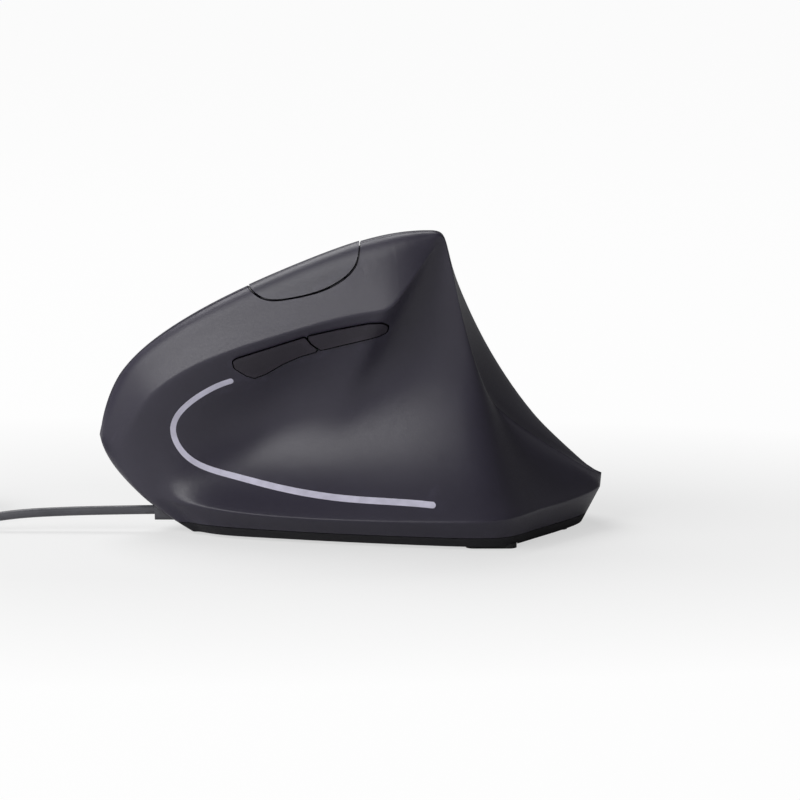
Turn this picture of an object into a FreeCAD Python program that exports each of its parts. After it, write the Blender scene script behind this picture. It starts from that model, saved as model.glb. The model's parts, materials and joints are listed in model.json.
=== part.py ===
import FreeCAD, Part
import math
import os

# An upright ("handshake") computer mouse with a cable. All sizes are in millimetres.
# +X runs from the nose to the tail, -Y is the thumb's side, +Z is up, and the feet stand on z = 0.
# The outer form is two smooth sheets, one on each side, that meet along the ridge, the bow and the tail.

V = FreeCAD.Vector

# The base and the walls
FOOT_HEIGHT = 0.8
BASE_THICK = 2.2
WALL = 2.0
RIDGE_WALL = 4.0
NOSE_WALL = 3.2
TAIL_WALL = 3.4
BASE_SEAM = 0.15
SHELL_SEAM = 0.15
GAP = 0.35
BASE_TOP = FOOT_HEIGHT + BASE_THICK
MID_Y = -2.0

# The edges of the form, each a smooth curve with few control points
BOW = [V(-60.5, MID_Y, 24.4), V(-59.8, MID_Y, 18.8), V(-52.4, MID_Y, 9.8), V(-43.7, MID_Y, 3.4),
       V(-38.5, MID_Y, FOOT_HEIGHT)]
RIDGE_FRONT = [V(-60.5, MID_Y, 24.4), V(-60.2, -2.4, 36.8), V(-42.0, -6.6, 52.6), V(-11.4, -9.8, 66.3),
               V(10.3, -13.4, 75.0), V(21.6, -15.0, 74.0)]
RIDGE_REAR = [V(21.6, -15.0, 74.0), V(25.0, -14.0, 64.0), V(24.5, -12.0, 46.0), V(36.0, -6.5, 23.0),
              V(60.3, 8.0, 12.5)]
CREASE = [V(-56.0, -10.2, 26.5), V(-43.7, -13.5, 41.2), V(-16.8, -18.5, 49.6), V(0.4, -20.0, 55.2),
          V(9.7, -22.0, 56.1)]
CREASE_UP = [V(9.7, -22.0, 56.1), V(21.6, -16.2, 73.2)]
SKIRT_FRONT = [V(-46.5, -8.5, 9.6), V(-39.0, -13.0, 8.6), V(-27.0, -19.5, 7.2), V(-5.0, -26.0, 6.9),
               V(14.0, -29.2, 7.1)]
SKIRT_REAR = [V(14.0, -29.2, 7.1), V(24.0, -30.8, 7.3), V(37.0, -34.0, 7.9), V(42.5, -21.5, 8.4),
              V(51.0, -8.0, 8.2), V(59.0, 2.0, 8.6), V(60.0, 8.0, 9.2)]
FOOTPRINT_FRONT = [V(-38.0, -6.0, FOOT_HEIGHT), V(-32.0, -12.5, FOOT_HEIGHT), V(-18.0, -15.5, FOOT_HEIGHT),
                   V(-3.0, -20.5, FOOT_HEIGHT), V(14.0, -24.0, FOOT_HEIGHT)]
FOOTPRINT_REAR = [V(14.0, -24.0, FOOT_HEIGHT), V(23.0, -26.0, FOOT_HEIGHT), V(36.5, -29.0, FOOT_HEIGHT),
                  V(40.5, -19.5, FOOT_HEIGHT), V(49.0, -8.0, FOOT_HEIGHT), V(54.5, 2.0, FOOT_HEIGHT),
                  V(55.6, 8.0, FOOT_HEIGHT)]
PALM_SKIRT_FRONT = [V(-46.0, 7.0, 9.6), V(-42.0, 17.0, 9.0), V(-28.0, 27.0, 7.8), V(-8.0, 31.2, 7.4),
                    V(14.0, 31.6, 7.4)]
PALM_SKIRT_REAR = [V(14.0, 31.6, 7.4), V(26.0, 31.8, 7.4), V(42.0, 29.3, 7.8), V(55.5, 23.0, 8.4),
                   V(60.0, 14.0, 9.0), V(60.0, 8.0, 9.2)]
PALM_FOOTPRINT_FRONT = [V(-38.2, 3.0, FOOT_HEIGHT), V(-34.0, 13.0, FOOT_HEIGHT), V(-24.0, 23.0, FOOT_HEIGHT),
                        V(-6.0, 27.5, FOOT_HEIGHT), V(14.0, 28.0, FOOT_HEIGHT)]
PALM_FOOTPRINT_REAR = [V(14.0, 28.0, FOOT_HEIGHT), V(26.0, 28.2, FOOT_HEIGHT), V(40.0, 25.5, FOOT_HEIGHT),
                       V(51.5, 20.0, FOOT_HEIGHT), V(55.6, 13.0, FOOT_HEIGHT), V(55.6, 8.0, FOOT_HEIGHT)]
SCOOP_DEPTH = 11.5
SCOOP_TAIL_DEPTH = 3.0
PALM_CROWN = 0.115

# The control nets: columns run from the bow to the tail, rows from the ridge to the base
FRONT_COLS = 14
REAR_COLS = 9
LAST_COL = FRONT_COLS + REAR_COLS
CORNER_COLS = 3
BOW_AT_ROW = [0, .05, .10, .15, .20, .25, .30, .35, .40, .46, .52, .58, .66, .84, 1]
TAIL_AT_ROW = [0, .1, .2, .3, .4, .5, .6, .7, .78, .85, .92, 1, 1.15, 1.5, 2]
CREASE_ROW = 5
SKIRT_ROW = 11
ROWS = 15
# The sheets are cut at these shares of their length when the walls are made
LENGTHS = [0.0, 0.25, 0.5, 0.75, 1.0]
# Along the palm side, how far down the row lies and how much of the crown it has
PALM_ROWS = [(.08, .42), (.20, 1.02), (.32, 1.32), (.45, 1.45), (.58, 1.32), (.70, .98), (.81, .50),
             (.90, .12)]

# The finger plates: they lie in a frame whose third axis is the way they are pressed from
PRESS_AXIS = V(-0.22, 0.85, 0.479)
DECK_X = -32.0
DECK_Z = 38.0
# How far a cut in that frame reaches: along and across it, below it and above it
DECK_REACH = 60.0
DECK_BELOW = 24.0
DECK_ABOVE = 14.0
STRIP_HALF = 5.0
PLATE_REAR = 33.0
FENDER_TOP = -8.0
FENDER = [(34.0, 23.5), (10.0, 23.0), (-6.0, 20.5), (-17.0, 16.0), (-24.0, 10.5), (-27.5, 5.0), (-30.0, 0.0)]
SEAM_ROW = 0.0165
SEAM_ROW_IN = 0.07
SEAM_SHARE = 0.88
PLATE_SEAM_NOSE = 0.68
BOW_RELIEF = 1.5
HINGE_AT = 31.0
HINGE_DEEP = 9.5
HINGE_PIN_DIA = 1.6
PIN_FIT = 0.05
LUG_WIDE = 2.6
LUG_LONG = 4.4
LUG_LOW = 2.2
LUG_REAR_CUT = 1.0
HINGE_PIN_HALF = 15.2
HINGE_HOLE_HALF = 20.0
HINGE_FINGERS = [-11.0, 0.0, 11.0]
BEAM_FRONT = 2.0
BEAM_REAR = 4.5
BEAM_HALF = 15.0
PLATE_LUGS = [8.2, 13.8]

# The boards and switches under the plates
BOARD_THICK = 1.6
DECK_BOARD_TOP = -13.5
DECK_BOARD_FRONT = -17.5
DECK_BOARD_REAR = 17.0
DECK_BOARD_UP = -11.8
DECK_BOARD_DOWN = 12.8
DECK_SCREW_IN = 2.4
CLICK_SWITCH = (12.8, 5.8, 6.5)
CLICK_SWITCH_CORNER = 0.5
CLICK_SWITCH_AT = 9.0
CLICK_SWITCH_SIDE = 8.6
CLICK_PLUNGER = (2.4, 1.6, 2.0)
CLICK_PLUNGER_AT = 6.0
CLICK_PLUNGER_UP = 0.7
PLUNGER_FIT = 0.1
PLUNGER_ROOM = 0.7
PRESS_GAP = 0.1
POST_DIA = 3.0
LEG_SIDE = 4.0
LEG_FOOT = (11.0, 6.0, 1.6)
LEG_HOLE_INSET = 1.7
LEG_HOLE_TALL = 5.0
LEG_HOLE_DEEP = 1.4
LEGS = [(-4.5, 7.5), (13.0, 7.5)]

# The scroll wheel
WHEEL_AT = -1.0
WHEEL_DIA = 22.0
WHEEL_WIDE = 6.6
WHEEL_PROUD = 3.6
TYRE_THICK = 1.8
TYRE_GROOVES = 32
TYRE_GROOVE_DIA = 0.8
RIM_THICK = 1.3
WEB_THICK = 1.4
HUB_DIA = 5.2
ENCODER_SLOTS = 20
ENCODER_SLOT_DIA = 1.0
ENCODER_RING = 0.3 * WHEEL_DIA
AXLE_DIA = 2.5
CARRIER_THICK = 1.3
CARRIER_TALL = 2.0
CARRIER_LIFT = 1.0
# The carrier's tab over the middle switch: half its length, how far past the switch's middle, how thick
TAB_HALF = 2.2
TAB_PAST = 1.6
TAB_THICK = 1.5
WHEEL_SIDE_GAP = 0.7
EAR_LONG = 5.0
SLOT_FRONT = 13.5
SLOT_REAR = 11.0
GUIDE = (2.0, 6.0, 4.5)
GUIDE_GAP = 0.3
GUIDE_SLOT_ROOM = 0.2
WHEEL_END_GAP = 0.5
TACT = (6.0, 6.0, 1.6)
TACT_PLUNGER_DIA = 3.2
TACT_PLUNGER_UP = 0.7
TACT_WELL_DEEP = 1.2
TACT_FLOOR = 0.4
TACT_ROOM = 0.6
EYE = (4.0, 2.6, 7.4)
EYE_GAP = 0.4
AXLE_PROUD = 0.2
TYRE_ROUND = 1.0

# The speed button, a saddle over the ridge; (x, z) of its lower edge seen from the thumb's side
SPEED_EDGE = [(-28.0, 67.0), (-24.0, 60.2), (-20.5, 57.9), (-14.2, 58.1), (-2.9, 62.2), (0.9, 66.0),
              (1.9, 72.0), (1.9, 82.0)]
SPEED_FAR_EDGE = 4.5
SPEED_PROUD = 0.15
SPEED_TRAVEL = 0.25
SPEED_SWITCH = V(-13.5, -8.8, 56.3)
SPEED_TACT = (6.0, 6.0, 2.5)
TALL_TACT = (6.0, 6.0, 2.6)
SPEED_BOARD = (8.0, 7.8, 1.2)
SHELF_THICK = 1.4
SHELF_WIDE = 14.0
SHELF_OUT = 2.2

# The thumb buttons; (x, z) of their outlines seen from the thumb's side
FORWARD_OUTLINE = [(-27.8, 43.0), (-26.9, 43.6), (-10.8, 49.0), (-9.6, 47.3), (-7.6, 45.6), (-12.2, 44.1),
                   (-16.1, 42.3), (-20.1, 39.8), (-22.8, 38.7), (-24.6, 39.3), (-27.4, 41.3)]
BACK_OUTLINE = [(-10.3, 49.2), (-3.6, 50.8), (4.2, 52.5), (7.4, 52.6), (8.7, 51.8), (8.5, 50.4), (6.9, 49.6),
                (0.3, 47.8), (-7.1, 45.8), (-9.2, 47.5)]
THUMB_CORNER = 0.5
THUMB_PROUD = 0.8
THUMB_THICK = 2.4
THUMB_SWITCHES = [(-18.0, 44.2), (1.0, 50.0)]
THUMB_POST_DIA = 2.4
THUMB_PLUNGER_Y = -11.0
THUMB_BOARD_LONG = 24.0
THUMB_BOARD_TALL = 7.6
THUMB_BOARD_THICK = 1.2
THUMB_BOSS_DIA = 3.6
THUMB_REACH = 30.0
# Screw places on the thumb board: along it and up from its middle line
THUMB_BOARD_SCREWS = [(-8.5, 7.3), (8.5, 5.6)]

# The silver line inlaid in the thumb's scoop; (x, z) along its middle
ACCENT = [(-28.5, 37.9), (-37.5, 33.2), (-42.3, 26.3), (-40.0, 20.3), (-29.0, 15.1), (-1.5, 11.4),
          (19.2, 10.8)]
ACCENT_WIDE = 1.35
ACCENT_DEEP = 0.4
ACCENT_SAMPLES = 28

# The main board and what is on it
POST_TALL = 3.0
BASE_POST_DIA = 4.4
MAIN_BOARD = (46.0, 30.0)
MAIN_BOARD_CORNER = 2.0
MAIN_BOARD_X = -6.0
MAIN_BOARD_Y = -14.0
SENSOR_X = 8.0
SENSOR_Y = 0.0
SENSOR = (9.1, 12.8, 3.2)
SENSOR_CORNER = 0.5
SENSOR_WINDOW = (10.0, 8.0)
WINDOW_CORNER = 1.5
LENS = (18.0, 10.0, 2.6)
LENS_BARREL_DIA = 4.6
LENS_CUP_DIA = 6.4
LENS_BARREL_DEEP = 1.4
LENS_ROOM = 0.2
LENS_UNDER = 0.1
LIGHT_DIA = 3.0
LIGHT_LONG = 4.6
LIGHT_RIM = (0.8, 1.0)
LIGHT_GAP = 1.2
CLIP_WALL = 1.0
CLIP_PAST = (0.5, 0.9)
CLIP_ROOM = 0.5
CLIP_END_GAP = 0.1
CABLE_SOCKET = (5.0, 10.0, 4.6)
CABLE_SOCKET_Y = 1.5
SOCKET_WALL = 0.9
CHIPS = [(26.0, -1.0, 10.0, 4.0, 1.75), (28.0, 8.0, 7.0, 5.0, 2.0), (19.0, 8.0, 3.2, 1.6, 0.9)]
CAPACITORS = [(34.5, -5.0), (34.5, 1.0)]
CAPACITOR_DIA = 4.0
CAPACITOR_TALL = 5.4
BOARD_CORNER = 3.5
BOARD_HOLE_SHIFT = 8.0

# Screws: (x, y) of those that hold the shells, and their sizes
CASE_SCREWS_LEFT = [(-16.0, -10.0), (22.0, -20.5)]
CASE_SCREWS_RIGHT = [(-16.0, 21.5), (47.5, 14.0)]
BOSS_DIA = 6.0
BOSS_TALL = 8.0
BOSS_REACH = 9.0
BOSS_WEB = 2.0
WEB_LIFT = 1.5
SCREW_FIT = 0.03
SCREW_DIA = 2.2
SCREW_LONG = 6.5
SCREW_HEAD_DIA = 4.2
SCREW_HEAD_TALL = 1.3
SCREW_SINK = 1.5
SCREW_PASS = 0.15
SCREW_HEAD_ROOM = 0.2
SCREW_TIP_GAP = 0.3
SMALL_SCREW_DIA = 1.6
SMALL_SCREW_LONG = 4.0
SMALL_HEAD_DIA = 3.2
SMALL_HEAD_TALL = 1.0
LEG_SCREW_LONG = 2.8

# Glide feet: x, y, length and width
FEET = [(-28.0, 2.5, 6.0, 18.0), (33.0, -22.0, 12.0, 5.0), (8.0, 23.0, 20.0, 5.0), (49.5, 3.5, 4.5, 9.0)]
FOOT_SUNK = 0.3
FOOT_ROOM = 0.15
FOOT_CORNER = 2.0

# The cable and its bush
CABLE_DIA = 2.2
# Each bend takes this share of the shorter straight run beside it
BEND_SHARE = 0.45
BUSH_FRONT = -47.2
BUSH_LONG = 6.4
BUSH_WIDE = 4.6
BUSH_TALL = 4.0
BUSH_CORNER = 0.8
BUSH_FLANGE = (1.4, 6.6, 5.0)
CABLE_EXIT_Z = 5.2
CABLE_FLOOR = 1.2
CABLE_ROUTE = [V(-47.2, MID_Y, 5.2), V(-56.0, -2.1, 5.1), V(-68.0, -1.7, 4.75), V(-80.0, -1.9, 4.2),
               V(-90.0, -2.2, 2.7), V(-99.0, MID_Y, 1.2), V(-108.0, MID_Y, 1.2)]
INNER_ROUTE = [V(-47.2, MID_Y, 5.2), V(-35.3, MID_Y, 5.2), V(-23.3, -2.5, 6.1), V(-13.4, -0.7, 9.1),
               V(-4.4, 1.5, 9.9)]
COIL_INNER = 7.9
COIL_STEP = 2.7
COIL_TURNS = 3.875
COIL_LAYERS = 4
COIL_LEAD = 2.2
# The plug's lead goes on along the coil's end for this far, then through these places from there
LEAD_FIRST_RUN = 8.0
LEAD_ROUTE = [V(-8.5, 0.4, -2.2), V(-15.0, 3.6, -4.4), V(-18.5, 9.4, -5.5), V(-18.2, 16.0, -5.5)]
PLUG_BODY = (24.0, 15.6, 7.6)
PLUG_CORNER = 2.0
PLUG_NECK_LONG = 7.0
PLUG_NECK_DIA = 5.4
PLUG_NECK_WALL = 0.5
PLUG_SHELL = (18.8, 12.0, 4.5)
PLUG_SHELL_WALL = 0.3
PLUG_SHELL_IN = 5.0
PLUG_TONGUE = (16.6, 11.0, 1.9)
PLUG_CONTACTS = 4
PLUG_CONTACT = (9.0, 1.2, 0.25)
PLUG_CONTACT_STEP = 2.4
PLUG_CONTACT_AT = 6.6
PLUG_CONTACT_SUNK = 0.1
PLUG_HOLE = (2.2, 2.4)
PLUG_HOLE_AT = 7.5
PLUG_HOLE_SIDE = 2.6

BIG = 200.0
# How far a cutting shape reaches past the face it cuts
PAST = 1.0
X = V(1, 0, 0)
Y = V(0, 1, 0)
Z = V(0, 0, 1)


def mix(a, b, t):
    return a * (1 - t) + b * t


def toward(a, b, distance):
    """The point that distance from a on the way to b, never past the middle."""
    length = a.distanceToPoint(b)
    return mix(a, b, min(distance, 0.45 * length) / length)


def smooth(t):
    t = min(max(t, 0.0), 1.0)
    return t * t * (3 - 2 * t)


def curve_point(poles, t):
    """A point of the clamped uniform cubic B-spline (or of a line) with these control points."""
    degree = min(3, len(poles) - 1)
    spans = len(poles) - degree
    knots = [0.0] * (degree + 1) + [k / spans for k in range(1, spans)] + [1.0] * (degree + 1)
    k = degree
    while k < len(poles) - 1 and t >= knots[k + 1]:
        k += 1
    points = [poles[k - degree + i] for i in range(degree + 1)]
    for r in range(1, degree + 1):
        for i in range(degree, r - 1, -1):
            low = knots[k - degree + i]
            share = (t - low) / (knots[k + 1 + i - r] - low)
            points[i] = mix(points[i - 1], points[i], share)
    return points[degree]


def rail(poles, count, ease_in=1.0, ease_out=1.0):
    """count + 1 points along a curve, closer together at an eased end."""
    points = []
    for i in range(count + 1):
        s = i / count
        t = (1 - s) * s ** ease_in + s * (1 - (1 - s) ** ease_out)
        points.append(curve_point(poles, t))
    return points


def joined(front, rear):
    return front[:-1] + rear


def bow_at(row):
    return curve_point(BOW, BOW_AT_ROW[row])


def edge_rails():
    """The points of each column on the ridge, the crease, both skirts and both footprints."""
    ridge = joined(rail(RIDGE_FRONT, FRONT_COLS, 1.0, 1.35), rail(RIDGE_REAR, REAR_COLS, 1.35, 1.0))
    crease = rail([bow_at(CREASE_ROW)] + CREASE, FRONT_COLS - CORNER_COLS, 1.0, 1.25)
    crease = joined(crease, rail(CREASE_UP, CORNER_COLS, 1.1, 1.0))
    start = [bow_at(SKIRT_ROW)]
    foot = [bow_at(ROWS - 1)]
    skirt = joined(rail(start + SKIRT_FRONT, FRONT_COLS), rail(SKIRT_REAR, REAR_COLS))
    footprint = joined(rail(foot + FOOTPRINT_FRONT, FRONT_COLS), rail(FOOTPRINT_REAR, REAR_COLS))
    palm_skirt = joined(rail(start + PALM_SKIRT_FRONT, FRONT_COLS), rail(PALM_SKIRT_REAR, REAR_COLS))
    front = rail(foot + PALM_FOOTPRINT_FRONT, FRONT_COLS)
    palm_footprint = joined(front, rail(PALM_FOOTPRINT_REAR, REAR_COLS))
    for i in range(FRONT_COLS + 1, LAST_COL + 1):
        crease.append(toward(ridge[i], skirt[i], 2.2) - Y * (0.5 if i < LAST_COL else 0.0))
    return ridge, crease, skirt, footprint, palm_skirt, palm_footprint


RIDGE, CREASE_RAIL, SKIRT, FOOTPRINT, PALM_SKIRT, PALM_FOOTPRINT = edge_rails()


def edge_round(i, front_width, narrow, rear_width):
    """How far the rounding beside the ridge reaches: it fades at the bow and narrows by the top corner."""
    if i > FRONT_COLS:
        return rear_width
    width = front_width if i <= FRONT_COLS - 2 else narrow
    return width * (0.35 + 0.65 * min(1.0, i / 5.0))


def scoop_at(i):
    """Depth of the thumb's scoop at a column."""
    depth = SCOOP_DEPTH * smooth((i - 1.0) / 8.0)
    if i > FRONT_COLS - 3:
        share = smooth((i - (FRONT_COLS - 3)) / (REAR_COLS + 3.0))
        depth = SCOOP_DEPTH - (SCOOP_DEPTH - SCOOP_TAIL_DEPTH) * share
    return depth * min(1.0, (LAST_COL - i) / 3.0)


def thumb_section(i):
    """Control points of one column on the thumb's side: band, crease, scoop, skirt."""
    r, c, k, b = RIDGE[i], CREASE_RAIL[i], SKIRT[i], FOOTPRINT[i]
    fade = min(1.0, i / 5.0)
    edge = r - Y * edge_round(i, 3.6, 2.28, 0.9)
    sharp = 0.9 + 3.0 * (1 - smooth(i / 6.0))
    if i <= FRONT_COLS:
        rows = [r, edge, mix(r, c, 0.42) - Y * (fade + 0.6), mix(r, c, 0.78) - Y * (0.5 * fade)]
        crease_sharp = sharp
    else:
        rows = [r, edge, mix(edge, c, 0.4), mix(edge, c, 0.7)]
        crease_sharp = 0.7
    depth = scoop_at(i)
    high = mix(c, k, 0.24) + Y * (0.62 * depth)
    middle = mix(c, k, 0.52) + Y * (1.15 * depth) - Z * (0.02 * depth)
    low = mix(c, k, 0.80) + Y * (0.80 * depth) - Z * (0.15 * depth)
    rows += [toward(c, rows[-1], crease_sharp), c, toward(c, high, crease_sharp), high, middle, low]
    rows += [toward(k, low, sharp), k, toward(k, b, min(sharp, 1.2)), mix(k, b, 0.65), b]
    return rows


def palm_section(i):
    """Control points of one column on the palm's side: a crowned flank down to the skirt."""
    r, k, b = RIDGE[i], PALM_SKIRT[i], PALM_FOOTPRINT[i]
    across = k - r
    out = V(0, -across.z, across.y)
    out.normalize()
    crown = PALM_CROWN * across.Length * (0.3 + 0.7 * smooth(i / 4.0))
    rows = [r, r + Y * edge_round(i, 2.4, 1.63, 1.2)]
    for down, share in PALM_ROWS:
        rows.append(mix(r, k, down) + out * (crown * share))
    sharp = 1.4 + 3.0 * (1 - smooth(i / 6.0))
    rows += [toward(k, rows[-1], sharp), k, toward(k, b, min(sharp, 1.2)), mix(k, b, 0.65), b]
    return rows


def tail_at(row):
    down = TAIL_AT_ROW[row]
    if down <= 1:
        return mix(RIDGE[LAST_COL], SKIRT[LAST_COL], down)
    return mix(SKIRT[LAST_COL], FOOTPRINT[LAST_COL], down - 1)


def net(section, side):
    """All columns of one side; both sides share the bow and the tail and leave them square to the middle."""
    columns = [section(i) for i in range(LAST_COL + 1)]
    columns[0] = [bow_at(j) for j in range(ROWS)]
    columns[LAST_COL] = [tail_at(j) for j in range(ROWS)]
    for j in range(1, ROWS):
        columns[1][j] = columns[0][j] + Y * (side * (3.0 + 3.0 * j / (ROWS - 1)))
        columns[LAST_COL - 1][j] = columns[LAST_COL][j] + Y * (side * 4.0)
    return columns


def inner_net(columns, side):
    """The net of the inner face of the wall. What both sides share moves alike on both."""
    inner = []
    for i, column in enumerate(columns):
        along = NOSE_WALL * (1 - smooth(i / 6.0)) - TAIL_WALL * smooth((i - FRONT_COLS + 2.0) / 7.0)
        ridge_fade = (1 - smooth((i - FRONT_COLS) / 4.0)) * smooth(i / 2.0)
        ridge_drop = 0.6 + (RIDGE_WALL - 0.6) * ridge_fade
        moved = []
        for j, p in enumerate(column):
            share = smooth(j / 2.0) if 0 < i < LAST_COL else 0.0
            drop = ridge_drop * (1 - share) + 0.5 * WALL * share if j < SKIRT_ROW - 1 else 0.0
            moved.append(V(p.x + along, p.y - side * WALL * share, p.z - drop))
        inner.append(moved)
    return inner


def sheet(columns):
    """The smooth surface through a control net."""
    poles = [list(row) for row in zip(*columns)]

    def knots(count):
        spans = count - 3
        return [k / spans for k in range(spans + 1)], [4] + [1] * (spans - 1) + [4]

    across, across_mults = knots(len(poles))
    along, along_mults = knots(len(poles[0]))
    surface = Part.BSplineSurface()
    surface.buildFromPolesMultsKnots(poles, across_mults, along_mults, across, along, False, False, 3, 3)
    return surface


def pillow(thumb_sheet, palm_sheet):
    """The closed solid between two sheets and a flat floor."""
    faces = [thumb_sheet.toShape(), palm_sheet.toShape()]
    low = min(v.Z for f in faces for v in f.Vertexes)
    rim = [e for f in faces for e in f.Edges if e.BoundBox.ZMax < low + 0.01]
    floor = Part.Face(Part.Wire(Part.__sortEdges__(rim)))
    return closed(faces + [floor])


def closed(faces):
    """The solid inside a closed set of faces."""
    shell = Part.Shell(faces)
    shell.sewShape()
    solid = Part.Solid(shell)
    if solid.Volume < 0:
        solid.reverse()
    return solid


THUMB_NET = net(thumb_section, -1)
PALM_NET = net(palm_section, 1)
THUMB_SHEET = sheet(THUMB_NET)
PALM_SHEET = sheet(PALM_NET)
OUTER = pillow(THUMB_SHEET, PALM_SHEET)
THUMB_IN = sheet(inner_net(THUMB_NET, -1))
PALM_IN = sheet(inner_net(PALM_NET, 1))
INNER = pillow(THUMB_IN, PALM_IN)


def hits(surface, start, direction):
    line = Part.Line(start - direction * BIG, start + direction * BIG)
    points, _ = line.intersectCS(surface)
    return [V(p.X, p.Y, p.Z) for p in points]


def palm_y(x, z):
    return max(p.y for p in hits(PALM_SHEET, V(x, 0, z), Y))


def thumb_y(x, z):
    return min(p.y for p in hits(THUMB_SHEET, V(x, 0, z), Y))


# The plates' frame: u runs back along the plates, w across them and down, n out of them
N = V(PRESS_AXIS)
N.normalize()
U = V(N.z, 0, -N.x)
U.normalize()
W = N.cross(U)
DECK = V(DECK_X, palm_y(DECK_X, DECK_Z), DECK_Z)
TILT = FreeCAD.Placement(FreeCAD.Matrix(
    U.x, W.x, N.x, DECK.x, U.y, W.y, N.y, DECK.y, U.z, W.z, N.z, DECK.z, 0, 0, 0, 1))


def tilted(shape):
    """Moves a shape that was made with x = u, y = w, z = n into the plates' frame."""
    shape = shape.copy()
    shape.Placement = TILT.multiply(shape.Placement)
    return shape


def deck(u, w, n):
    return DECK + U * u + W * w + N * n


def deck_surface(u, w):
    """Height of the palm side's outer face over a place in the plates' frame."""
    start = deck(u, w, 0)
    return max((p - start).dot(N) for p in hits(PALM_SHEET, start, N))


def block(x0, x1, y0, y1, z0, z1):
    return Part.makeBox(x1 - x0, y1 - y0, z1 - z0, V(x0, y0, z0))


def box_at(centre, size):
    """A box that stands on centre."""
    return Part.makeBox(size[0], size[1], size[2], centre - V(size[0] / 2, size[1] / 2, 0))


def upright(shape, tall):
    """The straight edges of a block that run up its whole height."""
    return [e for e in shape.Edges if e.BoundBox.ZLength > tall - 0.01]


def rod(start, axis, dia, length):
    return Part.makeCylinder(dia / 2, length, start, axis)


def through(wire_or_face):
    """A face in the plane y = 0, swept along Y through the whole body."""
    face = wire_or_face.copy()
    face.translate(-Y * BIG)
    return face.extrude(Y * (2 * BIG))


def spline(points):
    curve = Part.BSplineCurve()
    curve.interpolate(points)
    return curve


def rows_of(surface, start, end):
    """A sheet between two of its rows, given as shares of its height, in its lengths from bow to tail."""
    parts = []
    for front, rear in zip(LENGTHS, LENGTHS[1:]):
        part = surface.copy()
        part.segment(start, end, front, rear)
        parts.append(part)
    return parts


def faces_of(surfaces):
    return [surface.toShape() for surface in surfaces]


def edge_wall(outer, inner, across, end):
    """The straight wall between the same edge of two sheets."""
    edges = []
    for face in (outer, inner):
        low_u, high_u, low_v, high_v = face.bounds()
        if across:
            edges.append(face.uIso(high_u if end else low_u).toShape())
        else:
            edges.append(face.vIso(high_v if end else low_v).toShape())
    return Part.makeRuledSurface(*edges)


def row_walls(outer, inner, end):
    return [edge_wall(*pair, True, end) for pair in zip(outer, inner)]


def end_walls(outer, inner):
    return [edge_wall(outer[0], inner[0], False, False), edge_wall(outer[-1], inner[-1], False, True)]


def thumb_wall():
    """The thumb's side of the wall, from the seam beside the ridge down, as one solid."""
    outer, inner = rows_of(THUMB_SHEET, SEAM_ROW, 1), rows_of(THUMB_IN, SEAM_ROW_IN, 1)
    faces = faces_of(outer + inner) + end_walls(outer, inner)
    return closed(faces + row_walls(outer, inner, False) + row_walls(outer, inner, True))


def palm_wall():
    """The palm's side of the wall, with the strip of the thumb's side that lies above the seam."""
    row, row_in = SEAM_ROW * SEAM_SHARE, SEAM_ROW_IN * SEAM_SHARE
    faces = []
    for thumb, palm, end in ((THUMB_SHEET, PALM_SHEET, row), (THUMB_IN, PALM_IN, row_in)):
        faces += faces_of(rows_of(thumb, 0, end) + rows_of(palm, 0, end) + rows_of(palm, end, 1))
    faces += row_walls(rows_of(THUMB_SHEET, 0, row), rows_of(THUMB_IN, 0, row_in), True)
    outer, inner = rows_of(PALM_SHEET, row, 1), rows_of(PALM_IN, row_in, 1)
    return closed(faces + row_walls(outer, inner, True) + end_walls(outer, inner))


def beside_ridge(line_y):
    """All that lies to the palm's side of a line beside the ridge, seen from above; line_y(i) at a column."""
    points = [V(RIDGE[i].x, line_y(i), 0) for i in (0, 2, 4, 6, 8, 10, 12, FRONT_COLS)]
    points = [points[0] - X * 20] + points + [points[-1] + X * 20]
    curve = spline(points).toShape()
    corners = [points[-1], V(points[-1].x, 80, 0), V(points[0].x, 80, 0), points[0]]
    edges = [curve] + [Part.makeLine(a, b) for a, b in zip(corners, corners[1:])]
    return Part.Face(Part.Wire(edges)).extrude(Z * 100)


def row_y(surface, row, x):
    """Where a row of a sheet passes x on its way from the bow to the top corner, as y."""
    low, high = 0.0, FRONT_COLS / LAST_COL
    for _ in range(30):
        middle = 0.5 * (low + high)
        if surface.value(row, middle).x < x:
            low = middle
        else:
            high = middle
    return surface.value(row, high).y


def seam_y(i):
    """The thumb wall's edge at a column, as y: of its outer and inner edge, the one nearer the palm."""
    x = RIDGE[i].x
    return max(row_y(THUMB_SHEET, SEAM_ROW, x), row_y(THUMB_IN, SEAM_ROW_IN, x))


def plate_gap(i):
    """Width of the seam beside the plates: widest at the nose, where they move most."""
    return GAP + (PLATE_SEAM_NOSE - GAP) * (1 - smooth(i / 9.0))


def above_base(shape):
    return shape.common(block(-BIG, BIG, -BIG, BIG, BASE_TOP + BASE_SEAM, BIG))


SKIN = above_base(OUTER.cut(INNER))
THUMB_SKIN = above_base(thumb_wall())
PALM_SKIN = above_base(palm_wall())
PLATE_SKIN = PALM_SKIN.common(beside_ridge(lambda i: seam_y(i) + plate_gap(i)))
PLATE_SKIN = PLATE_SKIN.cut(block(-BIG, DECK_X, -BIG, MID_Y + PLATE_SEAM_NOSE, 0, BOW[0].z + BOW_RELIEF))


def fender(shift):
    """The lower edge of the lower plate, as points of the plates' frame."""
    return [V(u, w + shift, 0) for u, w in FENDER]


def deck_region(low_u, high_u, low_w, high_w):
    return tilted(block(low_u, high_u, low_w, high_w, -DECK_BELOW, DECK_ABOVE))


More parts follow.
